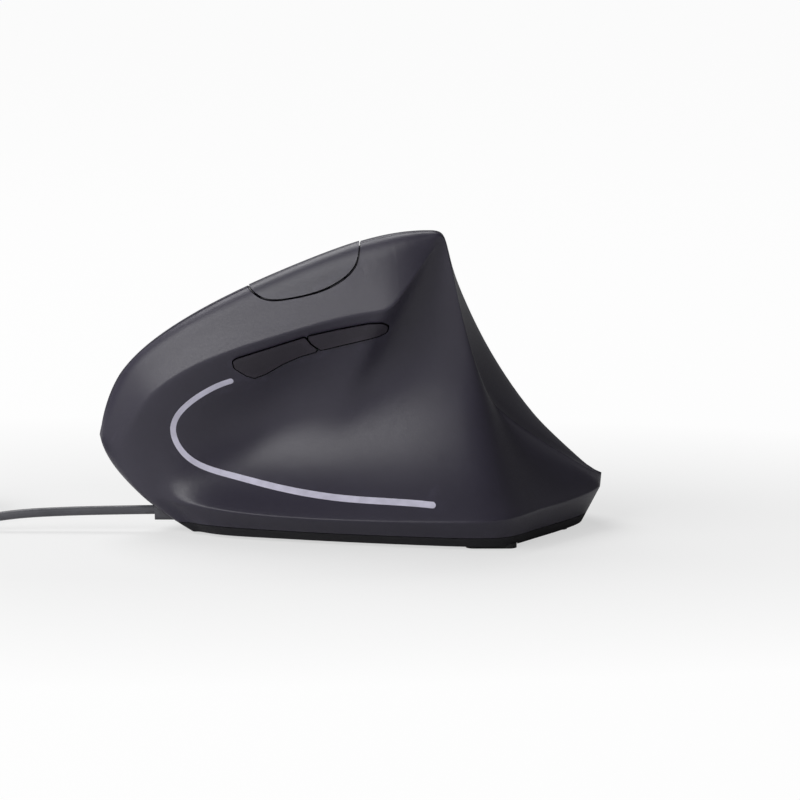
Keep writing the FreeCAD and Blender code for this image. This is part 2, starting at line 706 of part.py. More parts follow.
def below_strip_region(rear, top, shift):
    """Where the lower plate lies: under the strip, over the fender's curve, ahead of rear."""
    edge = fender(shift)
    curve = spline(edge).toShape()
    corners = [edge[-1], V(edge[-1].x, FENDER_TOP, 0), V(edge[0].x, FENDER_TOP, 0), edge[0]]
    edges = [curve] + [Part.makeLine(a, b) for a, b in zip(corners, corners[1:])]
    face = Part.Face(Part.Wire(edges))
    face.translate(-Z * DECK_BELOW)
    region = face.extrude(Z * (DECK_BELOW + DECK_ABOVE))
    return tilted(region.common(block(-DECK_REACH, rear, top, DECK_REACH, -DECK_BELOW, DECK_ABOVE)))


def flat_outline(points, grow):
    """A face in the plane y = 0 with rounded corners, grown by a clearance."""
    corners = [V(x, 0, z) for x, z in points]
    wire = Part.makePolygon(corners + corners[:1])
    wire = wire.makeOffset2D(-THUMB_CORNER).makeOffset2D(THUMB_CORNER + grow)
    return Part.Face(wire)


def speed_face(grow):
    """The speed button's outline in the plane y = 0; its lower edge grows down by a clearance."""
    middle_x = 0.5 * (SPEED_EDGE[1][0] + SPEED_EDGE[-2][0])
    edge = []
    for x, z in SPEED_EDGE:
        side = max(-1.0, min(1.0, (x - middle_x) / 9.0))
        edge.append(V(x + side * grow, 0, z - grow * (1.1 - 0.2 * abs(side))))
    corners = [edge[-1], edge[0]]
    edges = [spline(edge).toShape()]
    top = V(edge[0].x, 0, edge[-1].z)
    edges += [Part.makeLine(corners[0], top), Part.makeLine(top, corners[1])]
    return Part.Face(Part.Wire(edges))


def speed_zone(grow):
    """The space of the speed button: inside its outline and not far down the finger side."""
    return through(speed_face(grow)).cut(beside_ridge(lambda i: RIDGE[i].y + SPEED_FAR_EDGE + grow))


SPEED_WINDOW = speed_zone(GAP)


def accent_face():
    """The silver line's outline in the plane y = 0, with round ends."""
    middle = spline([V(x, 0, z) for x, z in ACCENT])
    first, last = middle.FirstParameter, middle.LastParameter
    above, below = [], []
    for k in range(ACCENT_SAMPLES + 1):
        t = first + (last - first) * k / ACCENT_SAMPLES
        along = middle.tangent(t)[0]
        across = V(-along.z, 0, along.x) * (ACCENT_WIDE / 2)
        above.append(middle.value(t) + across)
        below.append(middle.value(t) - across)
    start_cap = middle.value(first) - middle.tangent(first)[0] * (ACCENT_WIDE / 2)
    end_cap = middle.value(last) + middle.tangent(last)[0] * (ACCENT_WIDE / 2)
    edges = [spline(above).toShape(), Part.Arc(above[-1], end_cap, below[-1]).toShape()]
    edges += [spline(below).toShape(), Part.Arc(below[0], start_cap, above[0]).toShape()]
    return Part.Face(Part.Wire(Part.__sortEdges__(edges)))


def thumb_patch(face, thick):
    """The part of the thumb side's outer face inside an outline, thickened inwards."""
    patch = THUMB_SHEET.toShape().common(through(face))
    return patch.extrude(Y * thick)


def one_solid(shape):
    """The shape's largest solid, tidied; says so when more than a sliver falls off."""
    solids = sorted(shape.removeSplitter().Solids, key=lambda s: -s.Volume)
    for lost in solids[1:]:
        if lost.Volume > 0.05:
            print("left off", round(lost.Volume, 2), lost.CenterOfMass)
    return solids[0]


def case_boss(x, y, side):
    """A screw boss that stands on the base, with a web out to the wall on its side of the body."""
    pillar = rod(V(x, y, BASE_TOP), Z, BOSS_DIA, BOSS_TALL)
    reach = y + side * BOSS_REACH
    half = BOSS_WEB / 2
    web = block(x - half, x + half, min(y, reach), max(y, reach), BASE_TOP + WEB_LIFT, BASE_TOP + BOSS_TALL)
    return pillar.fuse(web).common(OUTER)


def case_hole(x, y):
    """The hole a case screw cuts its thread in."""
    top = FOOT_HEIGHT + SCREW_SINK + SCREW_LONG
    return rod(V(x, y, BASE_TOP - PAST), Z, SCREW_DIA + 2 * SCREW_FIT, top - BASE_TOP + PAST)


def make_thumb_buttons():
    """The forward and back buttons: proud patches of the wall, each with a post for its switch."""
    buttons = []
    for outline, (x, z) in zip((FORWARD_OUTLINE, BACK_OUTLINE), THUMB_SWITCHES):
        cap = thumb_patch(flat_outline(outline, 0.0), THUMB_THICK)
        cap.translate(-Y * THUMB_PROUD)
        root = thumb_y(x, z) - THUMB_PROUD + 0.5 * THUMB_THICK
        post = rod(V(x, root, z), Y, THUMB_POST_DIA, THUMB_PLUNGER_Y - PRESS_GAP - root)
        buttons.append(one_solid(cap.fuse(post)))
    return buttons


def make_accent():
    return one_solid(thumb_patch(accent_face(), ACCENT_DEEP))


def thumb_rise():
    (x0, z0), (x1, z1) = THUMB_SWITCHES
    return math.degrees(math.atan2(z1 - z0, x1 - x0))


def thumb_turned(shape):
    """Turns a shape that was made level into line with the thumb buttons."""
    x = 0.5 * (THUMB_SWITCHES[0][0] + THUMB_SWITCHES[1][0])
    z = 0.5 * (THUMB_SWITCHES[0][1] + THUMB_SWITCHES[1][1])
    shape.translate(V(x, 0, z))
    shape.rotate(V(x, 0, z), Y, -thumb_rise())
    return shape


THUMB_BOARD_Y = THUMB_PLUNGER_Y + TACT_PLUNGER_UP + TALL_TACT[2]


def thumb_board_holes():
    return [V(along, 0, up) for along, up in THUMB_BOARD_SCREWS]


def make_thumb_board():
    half_long, half_tall = THUMB_BOARD_LONG / 2, THUMB_BOARD_TALL / 2
    near, far = THUMB_BOARD_Y, THUMB_BOARD_Y + THUMB_BOARD_THICK
    board = block(-half_long, half_long, near, far, -half_tall, half_tall)
    half = THUMB_BOSS_DIA / 2
    for at in thumb_board_holes():
        ear = block(at.x - half, at.x + half, near, far, 0, at.z)
        board = board.fuse(ear).fuse(rod(at + Y * THUMB_BOARD_Y, Y, THUMB_BOSS_DIA, THUMB_BOARD_THICK))
    for at in thumb_board_holes():
        board = board.cut(rod(at - Y * BIG, Y, SMALL_SCREW_DIA + 2 * SCREW_FIT, 2 * BIG))
    return thumb_turned(one_solid(board))


def thumb_bosses():
    """Bosses from the thumb shell to its board."""
    bosses = []
    for at in thumb_board_holes():
        bosses.append(thumb_turned(rod(at - Y * THUMB_REACH, Y, THUMB_BOSS_DIA, THUMB_REACH + THUMB_BOARD_Y)))
    return bosses


def make_thumb_shell(accent):
    shell = THUMB_SKIN.cut(SPEED_WINDOW)
    for outline in (FORWARD_OUTLINE, BACK_OUTLINE):
        shell = shell.cut(through(flat_outline(outline, GAP)))
    shell = shell.cut(accent)
    shell = shell.cut(bush_notch())
    for x, y in CASE_SCREWS_LEFT:
        shell = shell.fuse(case_boss(x, y, -1)).cut(case_hole(x, y))
    for pillar in thumb_bosses():
        shell = shell.fuse(pillar.common(OUTER))
    for at in thumb_board_holes():
        start = at + Y * (THUMB_BOARD_Y - SMALL_SCREW_LONG)
        drill = rod(start, Y, SMALL_SCREW_DIA + 2 * SCREW_FIT, THUMB_REACH)
        shell = shell.cut(thumb_turned(drill))
    under = SPEED_SWITCH - Z * (SPEED_BOARD[2] + SHELF_THICK)
    shelf = box_at(under, (SPEED_BOARD[0], SHELF_WIDE, SHELF_THICK))
    shelf.translate(-Y * SHELF_OUT)
    return one_solid(shell.fuse(shelf.common(OUTER)))


def bush_notch():
    """The opening at the foot of the bow that the cable's bush sits in, with a pocket for its flange."""
    rear = BUSH_FRONT + BUSH_LONG
    half = BUSH_WIDE / 2 + SHELL_SEAM
    notch = block(-BIG, rear, MID_Y - half, MID_Y + half, BASE_TOP - PAST, BASE_TOP + BUSH_TALL + SHELL_SEAM)
    thick, wide, tall = BUSH_FLANGE
    half = wide / 2 + SHELL_SEAM
    front = rear - thick - SHELL_SEAM
    top = BASE_TOP + tall + SHELL_SEAM
    return notch.fuse(block(front, rear + TAIL_WALL, MID_Y - half, MID_Y + half, BASE_TOP - PAST, top))


def hinge_beam():
    """The palm shell's beam behind the plates, with the fingers that hold their hinge pin."""
    low = -HINGE_DEEP - LUG_LOW
    beam = block(PLATE_REAR + BEAM_FRONT, PLATE_REAR + BEAM_REAR, -BEAM_HALF, BEAM_HALF, low, WALL)
    for w in HINGE_FINGERS:
        half = LUG_WIDE / 2
        front, rear = HINGE_AT - LUG_LONG / 2, PLATE_REAR + 0.5 * (BEAM_FRONT + BEAM_REAR)
        finger = block(front, rear, w - half, w + half, low, low + 2 * LUG_LOW)
        beam = beam.fuse(finger)
    return tilted(beam).common(OUTER).cut(hinge_hole(0.0))


def hinge_rod(dia, half_length):
    return rod(V(HINGE_AT, -half_length, -HINGE_DEEP), Y, dia, 2 * half_length)


def hinge_hole(fit):
    return tilted(hinge_rod(HINGE_PIN_DIA + 2 * fit, HINGE_HOLE_HALF))


def make_palm_shell():
    shell = PALM_SKIN.cut(deck_region(-DECK_REACH, PLATE_REAR + GAP, -DECK_REACH, STRIP_HALF + SHELL_SEAM))
    shell = shell.cut(below_strip_region(PLATE_REAR + GAP, 0.0, GAP))
    shell = shell.cut(SPEED_WINDOW).cut(bush_notch())
    for x, y in CASE_SCREWS_RIGHT:
        shell = shell.fuse(case_boss(x, y, 1)).cut(case_hole(x, y))
    return one_solid(shell.fuse(hinge_beam()))


def click_post(side):
    """The post inside a plate that meets the switch's plunger."""
    w = side * CLICK_SWITCH_SIDE
    tip = DECK_BOARD_TOP + CLICK_SWITCH[2] + CLICK_PLUNGER_UP + PRESS_GAP
    top = deck_surface(CLICK_PLUNGER_AT, w) - 0.5 * WALL
    return tilted(rod(V(CLICK_PLUNGER_AT, w, tip), Z, POST_DIA, top - tip))


def click_lugs(side):
    """Two lugs under a plate's rear end, bored for the hinge pin."""
    lugs = []
    for w in PLATE_LUGS:
        w *= side
        front, rear = HINGE_AT - LUG_LONG / 2, HINGE_AT + LUG_LONG / 2
        top = min(deck_surface(front, w), deck_surface(rear, w)) - 0.5 * WALL
        half = LUG_WIDE / 2
        lug = block(front, rear - LUG_REAR_CUT, w - half, w + half, -HINGE_DEEP - LUG_LOW, top)
        lugs.append(tilted(lug))
    return lugs


def make_plate(side):
    """A finger plate; side is -1 for the upper one, 1 for the lower one."""
    if side < 0:
        region = deck_region(-DECK_REACH, PLATE_REAR, -DECK_REACH, -STRIP_HALF - GAP)
        plate = PLATE_SKIN.common(region).cut(SPEED_WINDOW)
    else:
        plate = PLATE_SKIN.common(below_strip_region(PLATE_REAR, STRIP_HALF + GAP, 0.0))
    plate = one_solid(plate).fuse(click_post(side))
    for lug in click_lugs(side):
        plate = plate.fuse(lug)
    return one_solid(plate.cut(hinge_hole(PIN_FIT)))


def make_strip():
    """The fixed trim between the plates, with the wheel's slot."""
    rear = PLATE_REAR + GAP - SHELL_SEAM
    strip = PALM_SKIN.common(deck_region(-DECK_REACH, rear, -STRIP_HALF, STRIP_HALF))
    half = WHEEL_WIDE / 2 + WHEEL_SIDE_GAP
    ends = (WHEEL_AT - SLOT_FRONT + half, WHEEL_AT + SLOT_REAR - half)
    slot = block(*ends, -half, half, -DECK_BELOW, DECK_ABOVE)
    for u in ends:
        slot = slot.fuse(rod(V(u, 0, -DECK_BELOW), Z, 2 * half, DECK_BELOW + DECK_ABOVE))
    return one_solid(strip.cut(tilted(slot)))


def make_speed_button():
    saddle = one_solid(SKIN.common(speed_zone(0.0)))
    saddle.translate(Z * SPEED_PROUD)
    tip = SPEED_SWITCH.z + SPEED_TACT[2] + TACT_PLUNGER_UP + PRESS_GAP
    ridge_top = max(p.z for p in hits(PALM_SHEET, V(SPEED_SWITCH.x, SPEED_SWITCH.y + POST_DIA / 2, 0), Z))
    post = rod(V(SPEED_SWITCH.x, SPEED_SWITCH.y, tip), Z, POST_DIA, ridge_top - 0.75 * WALL - tip)
    return one_solid(saddle.fuse(post))


def make_hinge_pin():
    return tilted(hinge_rod(HINGE_PIN_DIA, HINGE_PIN_HALF))


def deck_outline(grow):
    return (DECK_BOARD_FRONT - grow, DECK_BOARD_REAR + grow, DECK_BOARD_UP - grow, DECK_BOARD_DOWN + grow)


def guide_u():
    """Where the carrier's two guides stand along the plates' frame."""
    half = carrier_half()
    return [WHEEL_AT - half - GUIDE_GAP - GUIDE[0] / 2, WHEEL_AT + half + GUIDE_GAP + GUIDE[0] / 2]


def carrier_half():
    return WHEEL_DIA / 2 + WHEEL_END_GAP + CARRIER_THICK


def make_deck_board():
    u0, u1, w0, w1 = deck_outline(0.0)
    board = block(u0, u1, w0, w1, DECK_BOARD_TOP - BOARD_THICK, DECK_BOARD_TOP)
    front, rear = guide_u()
    half = WHEEL_WIDE / 2 + WHEEL_SIDE_GAP
    reach = GUIDE[0] / 2 + GUIDE_SLOT_ROOM
    board = board.cut(block(front - reach, rear + reach, -half, half, -BIG, BIG))
    for u, w in deck_screws():
        board = board.cut(rod(V(u, w, -BIG), Z, SMALL_SCREW_DIA + 2 * SCREW_FIT, 2 * BIG))
    return tilted(board)


def deck_screws():
    u = DECK_BOARD_FRONT + DECK_SCREW_IN
    return [(u, DECK_BOARD_UP + DECK_SCREW_IN), (u, DECK_BOARD_DOWN - DECK_SCREW_IN)]


def leg_place(u, w):
    p = deck(u, w, DECK_BOARD_TOP - 1.5 * BOARD_THICK)
    return V(p.x, p.y, BASE_TOP)


def make_deck_frame():
    """The slanted bracket under the switch board: a plate, two guides for the wheel's carrier, two legs."""
    top = DECK_BOARD_TOP - BOARD_THICK
    u0, u1, w0, w1 = deck_outline(0.0)
    plate = block(u0, u1, w0, w1, top - BOARD_THICK, top)
    half = WHEEL_WIDE / 2 + WHEEL_SIDE_GAP
    reach = WHEEL_DIA / 2 + WHEEL_END_GAP
    plate = plate.cut(block(WHEEL_AT - reach, WHEEL_AT + reach, -half, half, -BIG, BIG))
    for u in guide_u():
        guide_half = min(GUIDE[1] / 2, half)
        high = DECK_BOARD_TOP + GUIDE[2]
        plate = plate.fuse(block(u - GUIDE[0] / 2, u + GUIDE[0] / 2, -guide_half, guide_half, top, high))
    for u, w in deck_screws():
        plate = plate.cut(rod(V(u, w, -BIG), Z, SMALL_SCREW_DIA + 2 * SCREW_FIT, 2 * BIG))
    frame = tilted(plate)
    above = tilted(block(-BIG, BIG, -BIG, BIG, top - 0.5 * BOARD_THICK, BIG))
    for u, w in LEGS:
        place = leg_place(u, w)
        leg = box_at(place, (LEG_SIDE, LEG_SIDE, BIG)).cut(above)
        foot = box_at(place, LEG_FOOT)
        frame = frame.fuse(leg).fuse(foot)
        for side in (-1, 1):
            hole = place + V(side * (LEG_FOOT[0] / 2 - LEG_HOLE_INSET), 0, -PAST)
            frame = frame.cut(rod(hole, Z, SMALL_SCREW_DIA + 2 * SCREW_FIT, LEG_HOLE_TALL))
    return one_solid(frame)


def make_click_switch(side):
    """A click switch: a moulded case with a well, and the plunger in it."""
    w = side * CLICK_SWITCH_SIDE
    top = DECK_BOARD_TOP + CLICK_SWITCH[2]
    case = box_at(V(CLICK_SWITCH_AT, w, DECK_BOARD_TOP), CLICK_SWITCH)
    case = case.makeFillet(CLICK_SWITCH_CORNER, upright(case, CLICK_SWITCH[2]))
    room = 2 * PLUNGER_FIT
    well_deep = CLICK_PLUNGER[2] - CLICK_PLUNGER_UP + PLUNGER_ROOM
    well_size = (CLICK_PLUNGER[0] + room, CLICK_PLUNGER[1] + room, well_deep + PAST)
    well = box_at(V(CLICK_PLUNGER_AT, w, top - well_deep), well_size)
    plunger = box_at(V(CLICK_PLUNGER_AT, w, top + CLICK_PLUNGER_UP - CLICK_PLUNGER[2]), CLICK_PLUNGER)
    return tilted(case.cut(well)), tilted(plunger)


def make_tact(size):
    """A push switch lying on z = 0, and its round plunger, before they are placed."""
    case = box_at(V(0, 0, 0), size)
    well_deep = min(TACT_WELL_DEEP, size[2] - TACT_FLOOR)
    well = rod(V(0, 0, size[2] - well_deep), Z, TACT_PLUNGER_DIA + 2 * PLUNGER_FIT, well_deep + PAST)
    tall = TACT_PLUNGER_UP + well_deep - TACT_ROOM
    plunger = rod(V(0, 0, size[2] + TACT_PLUNGER_UP - tall), Z, TACT_PLUNGER_DIA, tall)
    return case.cut(well), plunger


def wheel_centre():
    return deck_surface(WHEEL_AT, 0.0) + WHEEL_PROUD - WHEEL_DIA / 2


WHEEL_N = wheel_centre()


def across_rod(dia, half_length):
    """A cylinder on the wheel's axis."""
    return rod(V(WHEEL_AT, -half_length, WHEEL_N), Y, dia, 2 * half_length)


def make_tyre():
    half = WHEEL_WIDE / 2
    tyre = across_rod(WHEEL_DIA, half)
    rims = [e for e in tyre.Edges if e.Curve.TypeId == "Part::GeomCircle"]
    tyre = tyre.makeFillet(TYRE_ROUND, rims).cut(across_rod(WHEEL_DIA - 2 * TYRE_THICK, half + PAST))
    for k in range(TYRE_GROOVES):
        turn = 2 * math.pi * k / TYRE_GROOVES
        along, up = WHEEL_DIA / 2 * math.cos(turn), WHEEL_DIA / 2 * math.sin(turn)
        at = V(WHEEL_AT + along, -half - PAST, WHEEL_N + up)
        tyre = tyre.cut(rod(at, Y, TYRE_GROOVE_DIA, WHEEL_WIDE + 2 * PAST))
    return tilted(one_solid(tyre))


def make_hub():
    half = WHEEL_WIDE / 2
    outer = WHEEL_DIA - 2 * TYRE_THICK
    hub = across_rod(outer, half).cut(across_rod(outer - 2 * RIM_THICK, half + PAST))
    hub = hub.fuse(across_rod(outer - RIM_THICK, WEB_THICK / 2)).fuse(across_rod(HUB_DIA, half))
    hub = hub.cut(across_rod(AXLE_DIA, half + PAST))
    for k in range(ENCODER_SLOTS):
        turn = 2 * math.pi * k / ENCODER_SLOTS
        at = V(WHEEL_AT + ENCODER_RING * math.cos(turn), -half, WHEEL_N + ENCODER_RING * math.sin(turn))
        hub = hub.cut(rod(at, Y, ENCODER_SLOT_DIA, WHEEL_WIDE))
    return tilted(one_solid(hub))


def make_carrier():
    """The ring round the wheel's lower half, with two ears for the axle and a tab over the middle switch."""
    inner = WHEEL_WIDE / 2 + WHEEL_SIDE_GAP
    outer = inner + CARRIER_THICK
    low = DECK_BOARD_TOP + CARRIER_LIFT
    reach = carrier_half()
    ring = block(WHEEL_AT - reach, WHEEL_AT + reach, -outer, outer, low, low + CARRIER_TALL)
    inside = reach - CARRIER_THICK
    hole = block(WHEEL_AT - inside, WHEEL_AT + inside, -inner, inner, low - PAST, low + CARRIER_TALL + PAST)
    ring = ring.cut(hole)
    for side in (-1, 1):
        ear = block(WHEEL_AT - EAR_LONG / 2, WHEEL_AT + EAR_LONG / 2, inner, outer, low, WHEEL_N)
        ear = ear.fuse(rod(V(WHEEL_AT, inner, WHEEL_N), Y, EAR_LONG, CARRIER_THICK))
        if side < 0:
            ear = ear.mirror(V(0, 0, 0), Y)
        ring = ring.fuse(ear)
    tip = DECK_BOARD_TOP + TACT[2] + TACT_PLUNGER_UP + PRESS_GAP
    end = CLICK_SWITCH_SIDE + TAB_PAST
    tab = block(WHEEL_AT - TAB_HALF, WHEEL_AT + TAB_HALF, inner, end, tip, tip + TAB_THICK)
    ring = ring.fuse(tab)
    ring = ring.cut(across_rod(AXLE_DIA + 2 * PIN_FIT, outer + PAST))
    return tilted(one_solid(ring))


def make_axle():
    return tilted(across_rod(AXLE_DIA, WHEEL_WIDE / 2 + WHEEL_SIDE_GAP + CARRIER_THICK + AXLE_PROUD))


def make_eyes():
    """The light and the detector that count the wheel's slots, one on each side of it."""
    eyes = []
    for side in (-1, 1):
        w = side * (WHEEL_WIDE / 2 + WHEEL_SIDE_GAP + CARRIER_THICK + EYE_GAP + EYE[1] / 2)
        eye = box_at(V(WHEEL_AT - ENCODER_RING, w, DECK_BOARD_TOP), EYE)
        eyes.append(tilted(eye))
    return eyes


def make_base():
    """The base plate with its posts, screw holes, foot recesses and the sensor's window."""
    slab = block(-BIG, BIG, -BIG, BIG, FOOT_HEIGHT - PAST, BASE_TOP)
    base = OUTER.common(slab)
    for x, y in main_board_holes():
        base = base.fuse(rod(V(x, y, BASE_TOP - PAST), Z, BASE_POST_DIA, POST_TALL + PAST))
    for x, y in main_board_holes():
        start = V(x, y, BASE_TOP - PAST)
        base = base.cut(rod(start, Z, SMALL_SCREW_DIA + 2 * SCREW_FIT, POST_TALL + 2 * PAST))
    for x, y in CASE_SCREWS_LEFT + CASE_SCREWS_RIGHT:
        base = base.cut(rod(V(x, y, 0), Z, SCREW_DIA + 2 * SCREW_PASS, 2 * BASE_TOP))
        base = base.cut(rod(V(x, y, 0), Z, SCREW_HEAD_DIA + 2 * SCREW_HEAD_ROOM, FOOT_HEIGHT + SCREW_SINK))
    room = 2 * FOOT_ROOM
    for x, y, long, wide in FEET:
        base = base.cut(foot_pad(x, y, long + room, wide + room, 0, FOOT_HEIGHT + FOOT_SUNK))
    window = box_at(V(SENSOR_X, SENSOR_Y, -PAST), (*SENSOR_WINDOW, BASE_TOP + 2 * PAST))
    base = base.cut(window.makeFillet(WINDOW_CORNER, upright(window, BASE_TOP + 2 * PAST)))
    for u, w in LEGS:
        for side in (-1, 1):
            place = leg_place(u, w) + V(side * (LEG_FOOT[0] / 2 - LEG_HOLE_INSET), 0, -LEG_HOLE_DEEP)
            base = base.cut(rod(place, Z, SMALL_SCREW_DIA + 2 * SCREW_FIT, LEG_HOLE_DEEP + PAST))
    return one_solid(base)


def foot_pad(x, y, long, wide, low, high):
    pad = block(x - long / 2, x + long / 2, y - wide / 2, y + wide / 2, low, high)
    return pad.makeFillet(FOOT_CORNER, upright(pad, high - low))


def make_feet():
    top = FOOT_HEIGHT + FOOT_SUNK
    return Part.makeCompound([foot_pad(x, y, long, wide, 0.0, top) for x, y, long, wide in FEET])


def main_board_holes():
    x0, y0 = MAIN_BOARD_X, MAIN_BOARD_Y
    x1, y1 = x0 + MAIN_BOARD[0], y0 + MAIN_BOARD[1]
    inset = BOARD_CORNER
    near, far = y0 + inset, y1 - inset
    return [(x0 + inset, near), (x1 - inset, near), (x0 + inset + BOARD_HOLE_SHIFT, far), (x1 - inset, far)]


MAIN_LOW = BASE_TOP + POST_TALL
MAIN_TOP = MAIN_LOW + BOARD_THICK


def make_main_board():
    long, wide = MAIN_BOARD
    board = block(MAIN_BOARD_X, MAIN_BOARD_X + long, MAIN_BOARD_Y, MAIN_BOARD_Y + wide, MAIN_LOW, MAIN_TOP)
    board = board.makeFillet(MAIN_BOARD_CORNER, upright(board, BOARD_THICK))
    for x, y in main_board_holes():
        board = board.cut(rod(V(x, y, 0), Z, SMALL_SCREW_DIA + 2 * SCREW_FIT, BIG))
    board = board.cut(rod(V(SENSOR_X, SENSOR_Y, 0), Z, LENS_CUP_DIA + 2 * LENS_ROOM, BIG))
    return board


def make_lens():
    """The clear lens between the base and the main board, with a barrel in the window."""
    plate = box_at(V(SENSOR_X, SENSOR_Y, BASE_TOP), LENS)
    low = BASE_TOP - LENS_BARREL_DEEP
    barrel = rod(V(SENSOR_X, SENSOR_Y, low), Z, LENS_BARREL_DIA, BASE_TOP - low)
    cup_low = BASE_TOP + LENS[2]
    cup = rod(V(SENSOR_X, SENSOR_Y, cup_low), Z, LENS_CUP_DIA, MAIN_TOP - cup_low - LENS_UNDER)
    return one_solid(plate.fuse(barrel).fuse(cup))


def make_sensor():
    sensor = box_at(V(SENSOR_X, SENSOR_Y, MAIN_TOP), SENSOR)
    return sensor.makeFillet(SENSOR_CORNER, upright(sensor, SENSOR[2]))


LIGHT_X = SENSOR_X + SENSOR[0] / 2 + LIGHT_GAP


def make_light():
    """The sensor's light, lying on the board behind it, and the clip over it."""
    z = MAIN_TOP + CLIP_WALL + LIGHT_DIA / 2
    bulb = rod(V(LIGHT_X, SENSOR_Y, z), X, LIGHT_DIA, LIGHT_LONG)
    wider, thick = LIGHT_RIM
    rim = rod(V(LIGHT_X + LIGHT_LONG - thick, SENSOR_Y, z), X, LIGHT_DIA + wider, thick)
    bulb = one_solid(bulb.fuse(rim))
    size = LIGHT_DIA + wider + 2 * CLIP_WALL
    front, rear = LIGHT_X - CLIP_PAST[0], LIGHT_X + LIGHT_LONG + CLIP_PAST[1]
    clip = block(front, rear, SENSOR_Y - size / 2, SENSOR_Y + size / 2, MAIN_TOP, MAIN_TOP + size)
    bore = LIGHT_LONG + CLIP_END_GAP + CLIP_PAST[0] + PAST
    clip = clip.cut(rod(V(front - PAST, SENSOR_Y, z), X, LIGHT_DIA + 2 * CLIP_ROOM, bore))
    return bulb, one_solid(clip)


def make_chips():
    parts = []
    for x, y, long, wide, tall in CHIPS:
        parts.append(box_at(V(x, y, MAIN_TOP), (long, wide, tall)))
    for x, y in CAPACITORS:
        parts.append(rod(V(x, y, MAIN_TOP), Z, CAPACITOR_DIA, CAPACITOR_TALL))
    return Part.makeCompound(parts)


def make_cable_socket():
    socket = box_at(V(MAIN_BOARD_X + CABLE_SOCKET[0] / 2, CABLE_SOCKET_Y, MAIN_TOP), CABLE_SOCKET)
    wall = SOCKET_WALL
    mouth_size = (CABLE_SOCKET[0] / 2 + PAST, CABLE_SOCKET[1] - 2 * wall, CABLE_SOCKET[2] - 2 * wall)
    mouth = box_at(V(MAIN_BOARD_X + CABLE_SOCKET[0] / 4, CABLE_SOCKET_Y, MAIN_TOP + wall), mouth_size)
    return one_solid(socket.cut(mouth))


def screw(at, axis, dia, length, head_dia, head_tall):
    """A pan head screw whose head stands on at, with its shank along axis."""
    shank = rod(at, axis, dia, length)
    head = rod(at - axis * head_tall, axis, head_dia, head_tall)
    return one_solid(shank.fuse(head))


def make_case_screws():
    """The screws that come up through the base into the shells."""
    z = FOOT_HEIGHT + SCREW_SINK
    places = CASE_SCREWS_LEFT + CASE_SCREWS_RIGHT
    sizes = (SCREW_DIA, SCREW_LONG - SCREW_TIP_GAP, SCREW_HEAD_DIA, SCREW_HEAD_TALL)
    return Part.makeCompound([screw(V(x, y, z), Z, *sizes) for x, y in places])


def make_board_screws():
    """The small screws of the main board, the switch board's legs and the thumb board."""
    screws = []
    sizes = (SMALL_SCREW_DIA, SMALL_SCREW_LONG, SMALL_HEAD_DIA, SMALL_HEAD_TALL)
    for x, y in main_board_holes():
        screws.append(screw(V(x, y, MAIN_TOP), -Z, *sizes))
    for u, w in LEGS:
        for side in (-1, 1):
            place = leg_place(u, w) + V(side * (LEG_FOOT[0] / 2 - LEG_HOLE_INSET), 0, LEG_FOOT[2])
            screws.append(screw(place, -Z, SMALL_SCREW_DIA, LEG_SCREW_LONG, SMALL_HEAD_DIA, SMALL_HEAD_TALL))
    for u, w in deck_screws():
        at = V(u, w, DECK_BOARD_TOP)
        one = screw(at, -Z, SMALL_SCREW_DIA, 2 * BOARD_THICK, SMALL_HEAD_DIA, SMALL_HEAD_TALL)
        screws.append(tilted(one))
    for at in thumb_board_holes():
        one = screw(at + Y * (THUMB_BOARD_Y + THUMB_BOARD_THICK), -Y, *sizes)
        screws.append(thumb_turned(one))
    return Part.makeCompound(screws)


def make_bush():
    """The small moulded bush at the foot of the bow that grips the cable."""
    rear = BUSH_FRONT + BUSH_LONG
    half = BUSH_WIDE / 2
    body = block(BUSH_FRONT, rear, MID_Y - half, MID_Y + half, BASE_TOP, BASE_TOP + BUSH_TALL)
    body = body.makeFillet(BUSH_CORNER, [e for e in body.Edges if e.BoundBox.XLength > BUSH_LONG - 0.1])
    thick, wide, tall = BUSH_FLANGE
    flange = block(rear - thick, rear, MID_Y - wide / 2, MID_Y + wide / 2, BASE_TOP, BASE_TOP + tall)
    bush = body.fuse(flange)
    bore = rod(V(BUSH_FRONT - PAST, MID_Y, CABLE_EXIT_Z), X, CABLE_DIA, BUSH_LONG + 2 * PAST)
    return one_solid(bush.cut(bore))


def bend_radius(before, at, after):
    run = min(before.distanceToPoint(at), at.distanceToPoint(after))
    turn = (at - before).getAngle(after - at)
    return BEND_SHARE * run / math.tan(turn / 2)


def tube(points, name):
    """A round cable along straight runs joined by tangent arcs; prints its radii and checks its volume."""
    edges, start, radii = [], points[0], []
    for before, at, after in zip(points, points[1:], points[2:]):
        run = BEND_SHARE * min(before.distanceToPoint(at), at.distanceToPoint(after))
        first, last = toward_by(at, before, run), toward_by(at, after, run)
        radius = bend_radius(before, at, after)
        radii.append(radius)
        middle = (first + last) * 0.5
        centre_way = middle - at
        reach = math.hypot(radius, run)
        centre_way.normalize()
        top = at + centre_way * (reach - radius)
        edges.append(Part.makeLine(start, first))
        edges.append(Part.Arc(first, top, last).toShape())
        start = last
    edges.append(Part.makeLine(start, points[-1]))
    path = Part.Wire(edges)
    ring = Part.Wire(Part.makeCircle(CABLE_DIA / 2, points[0], points[1] - points[0]))
    solid = path.makePipeShell([ring], True, False)
    wanted = math.pi * (CABLE_DIA / 2) ** 2 * path.Length
    print(name, "length", round(path.Length, 2), "radii", [round(r, 1) for r in radii],
          "volume share", round(solid.Volume / wanted, 4))
    return solid, path.Length


def toward_by(a, b, distance):
    way = b - a
    way.normalize()
    return a + way * distance


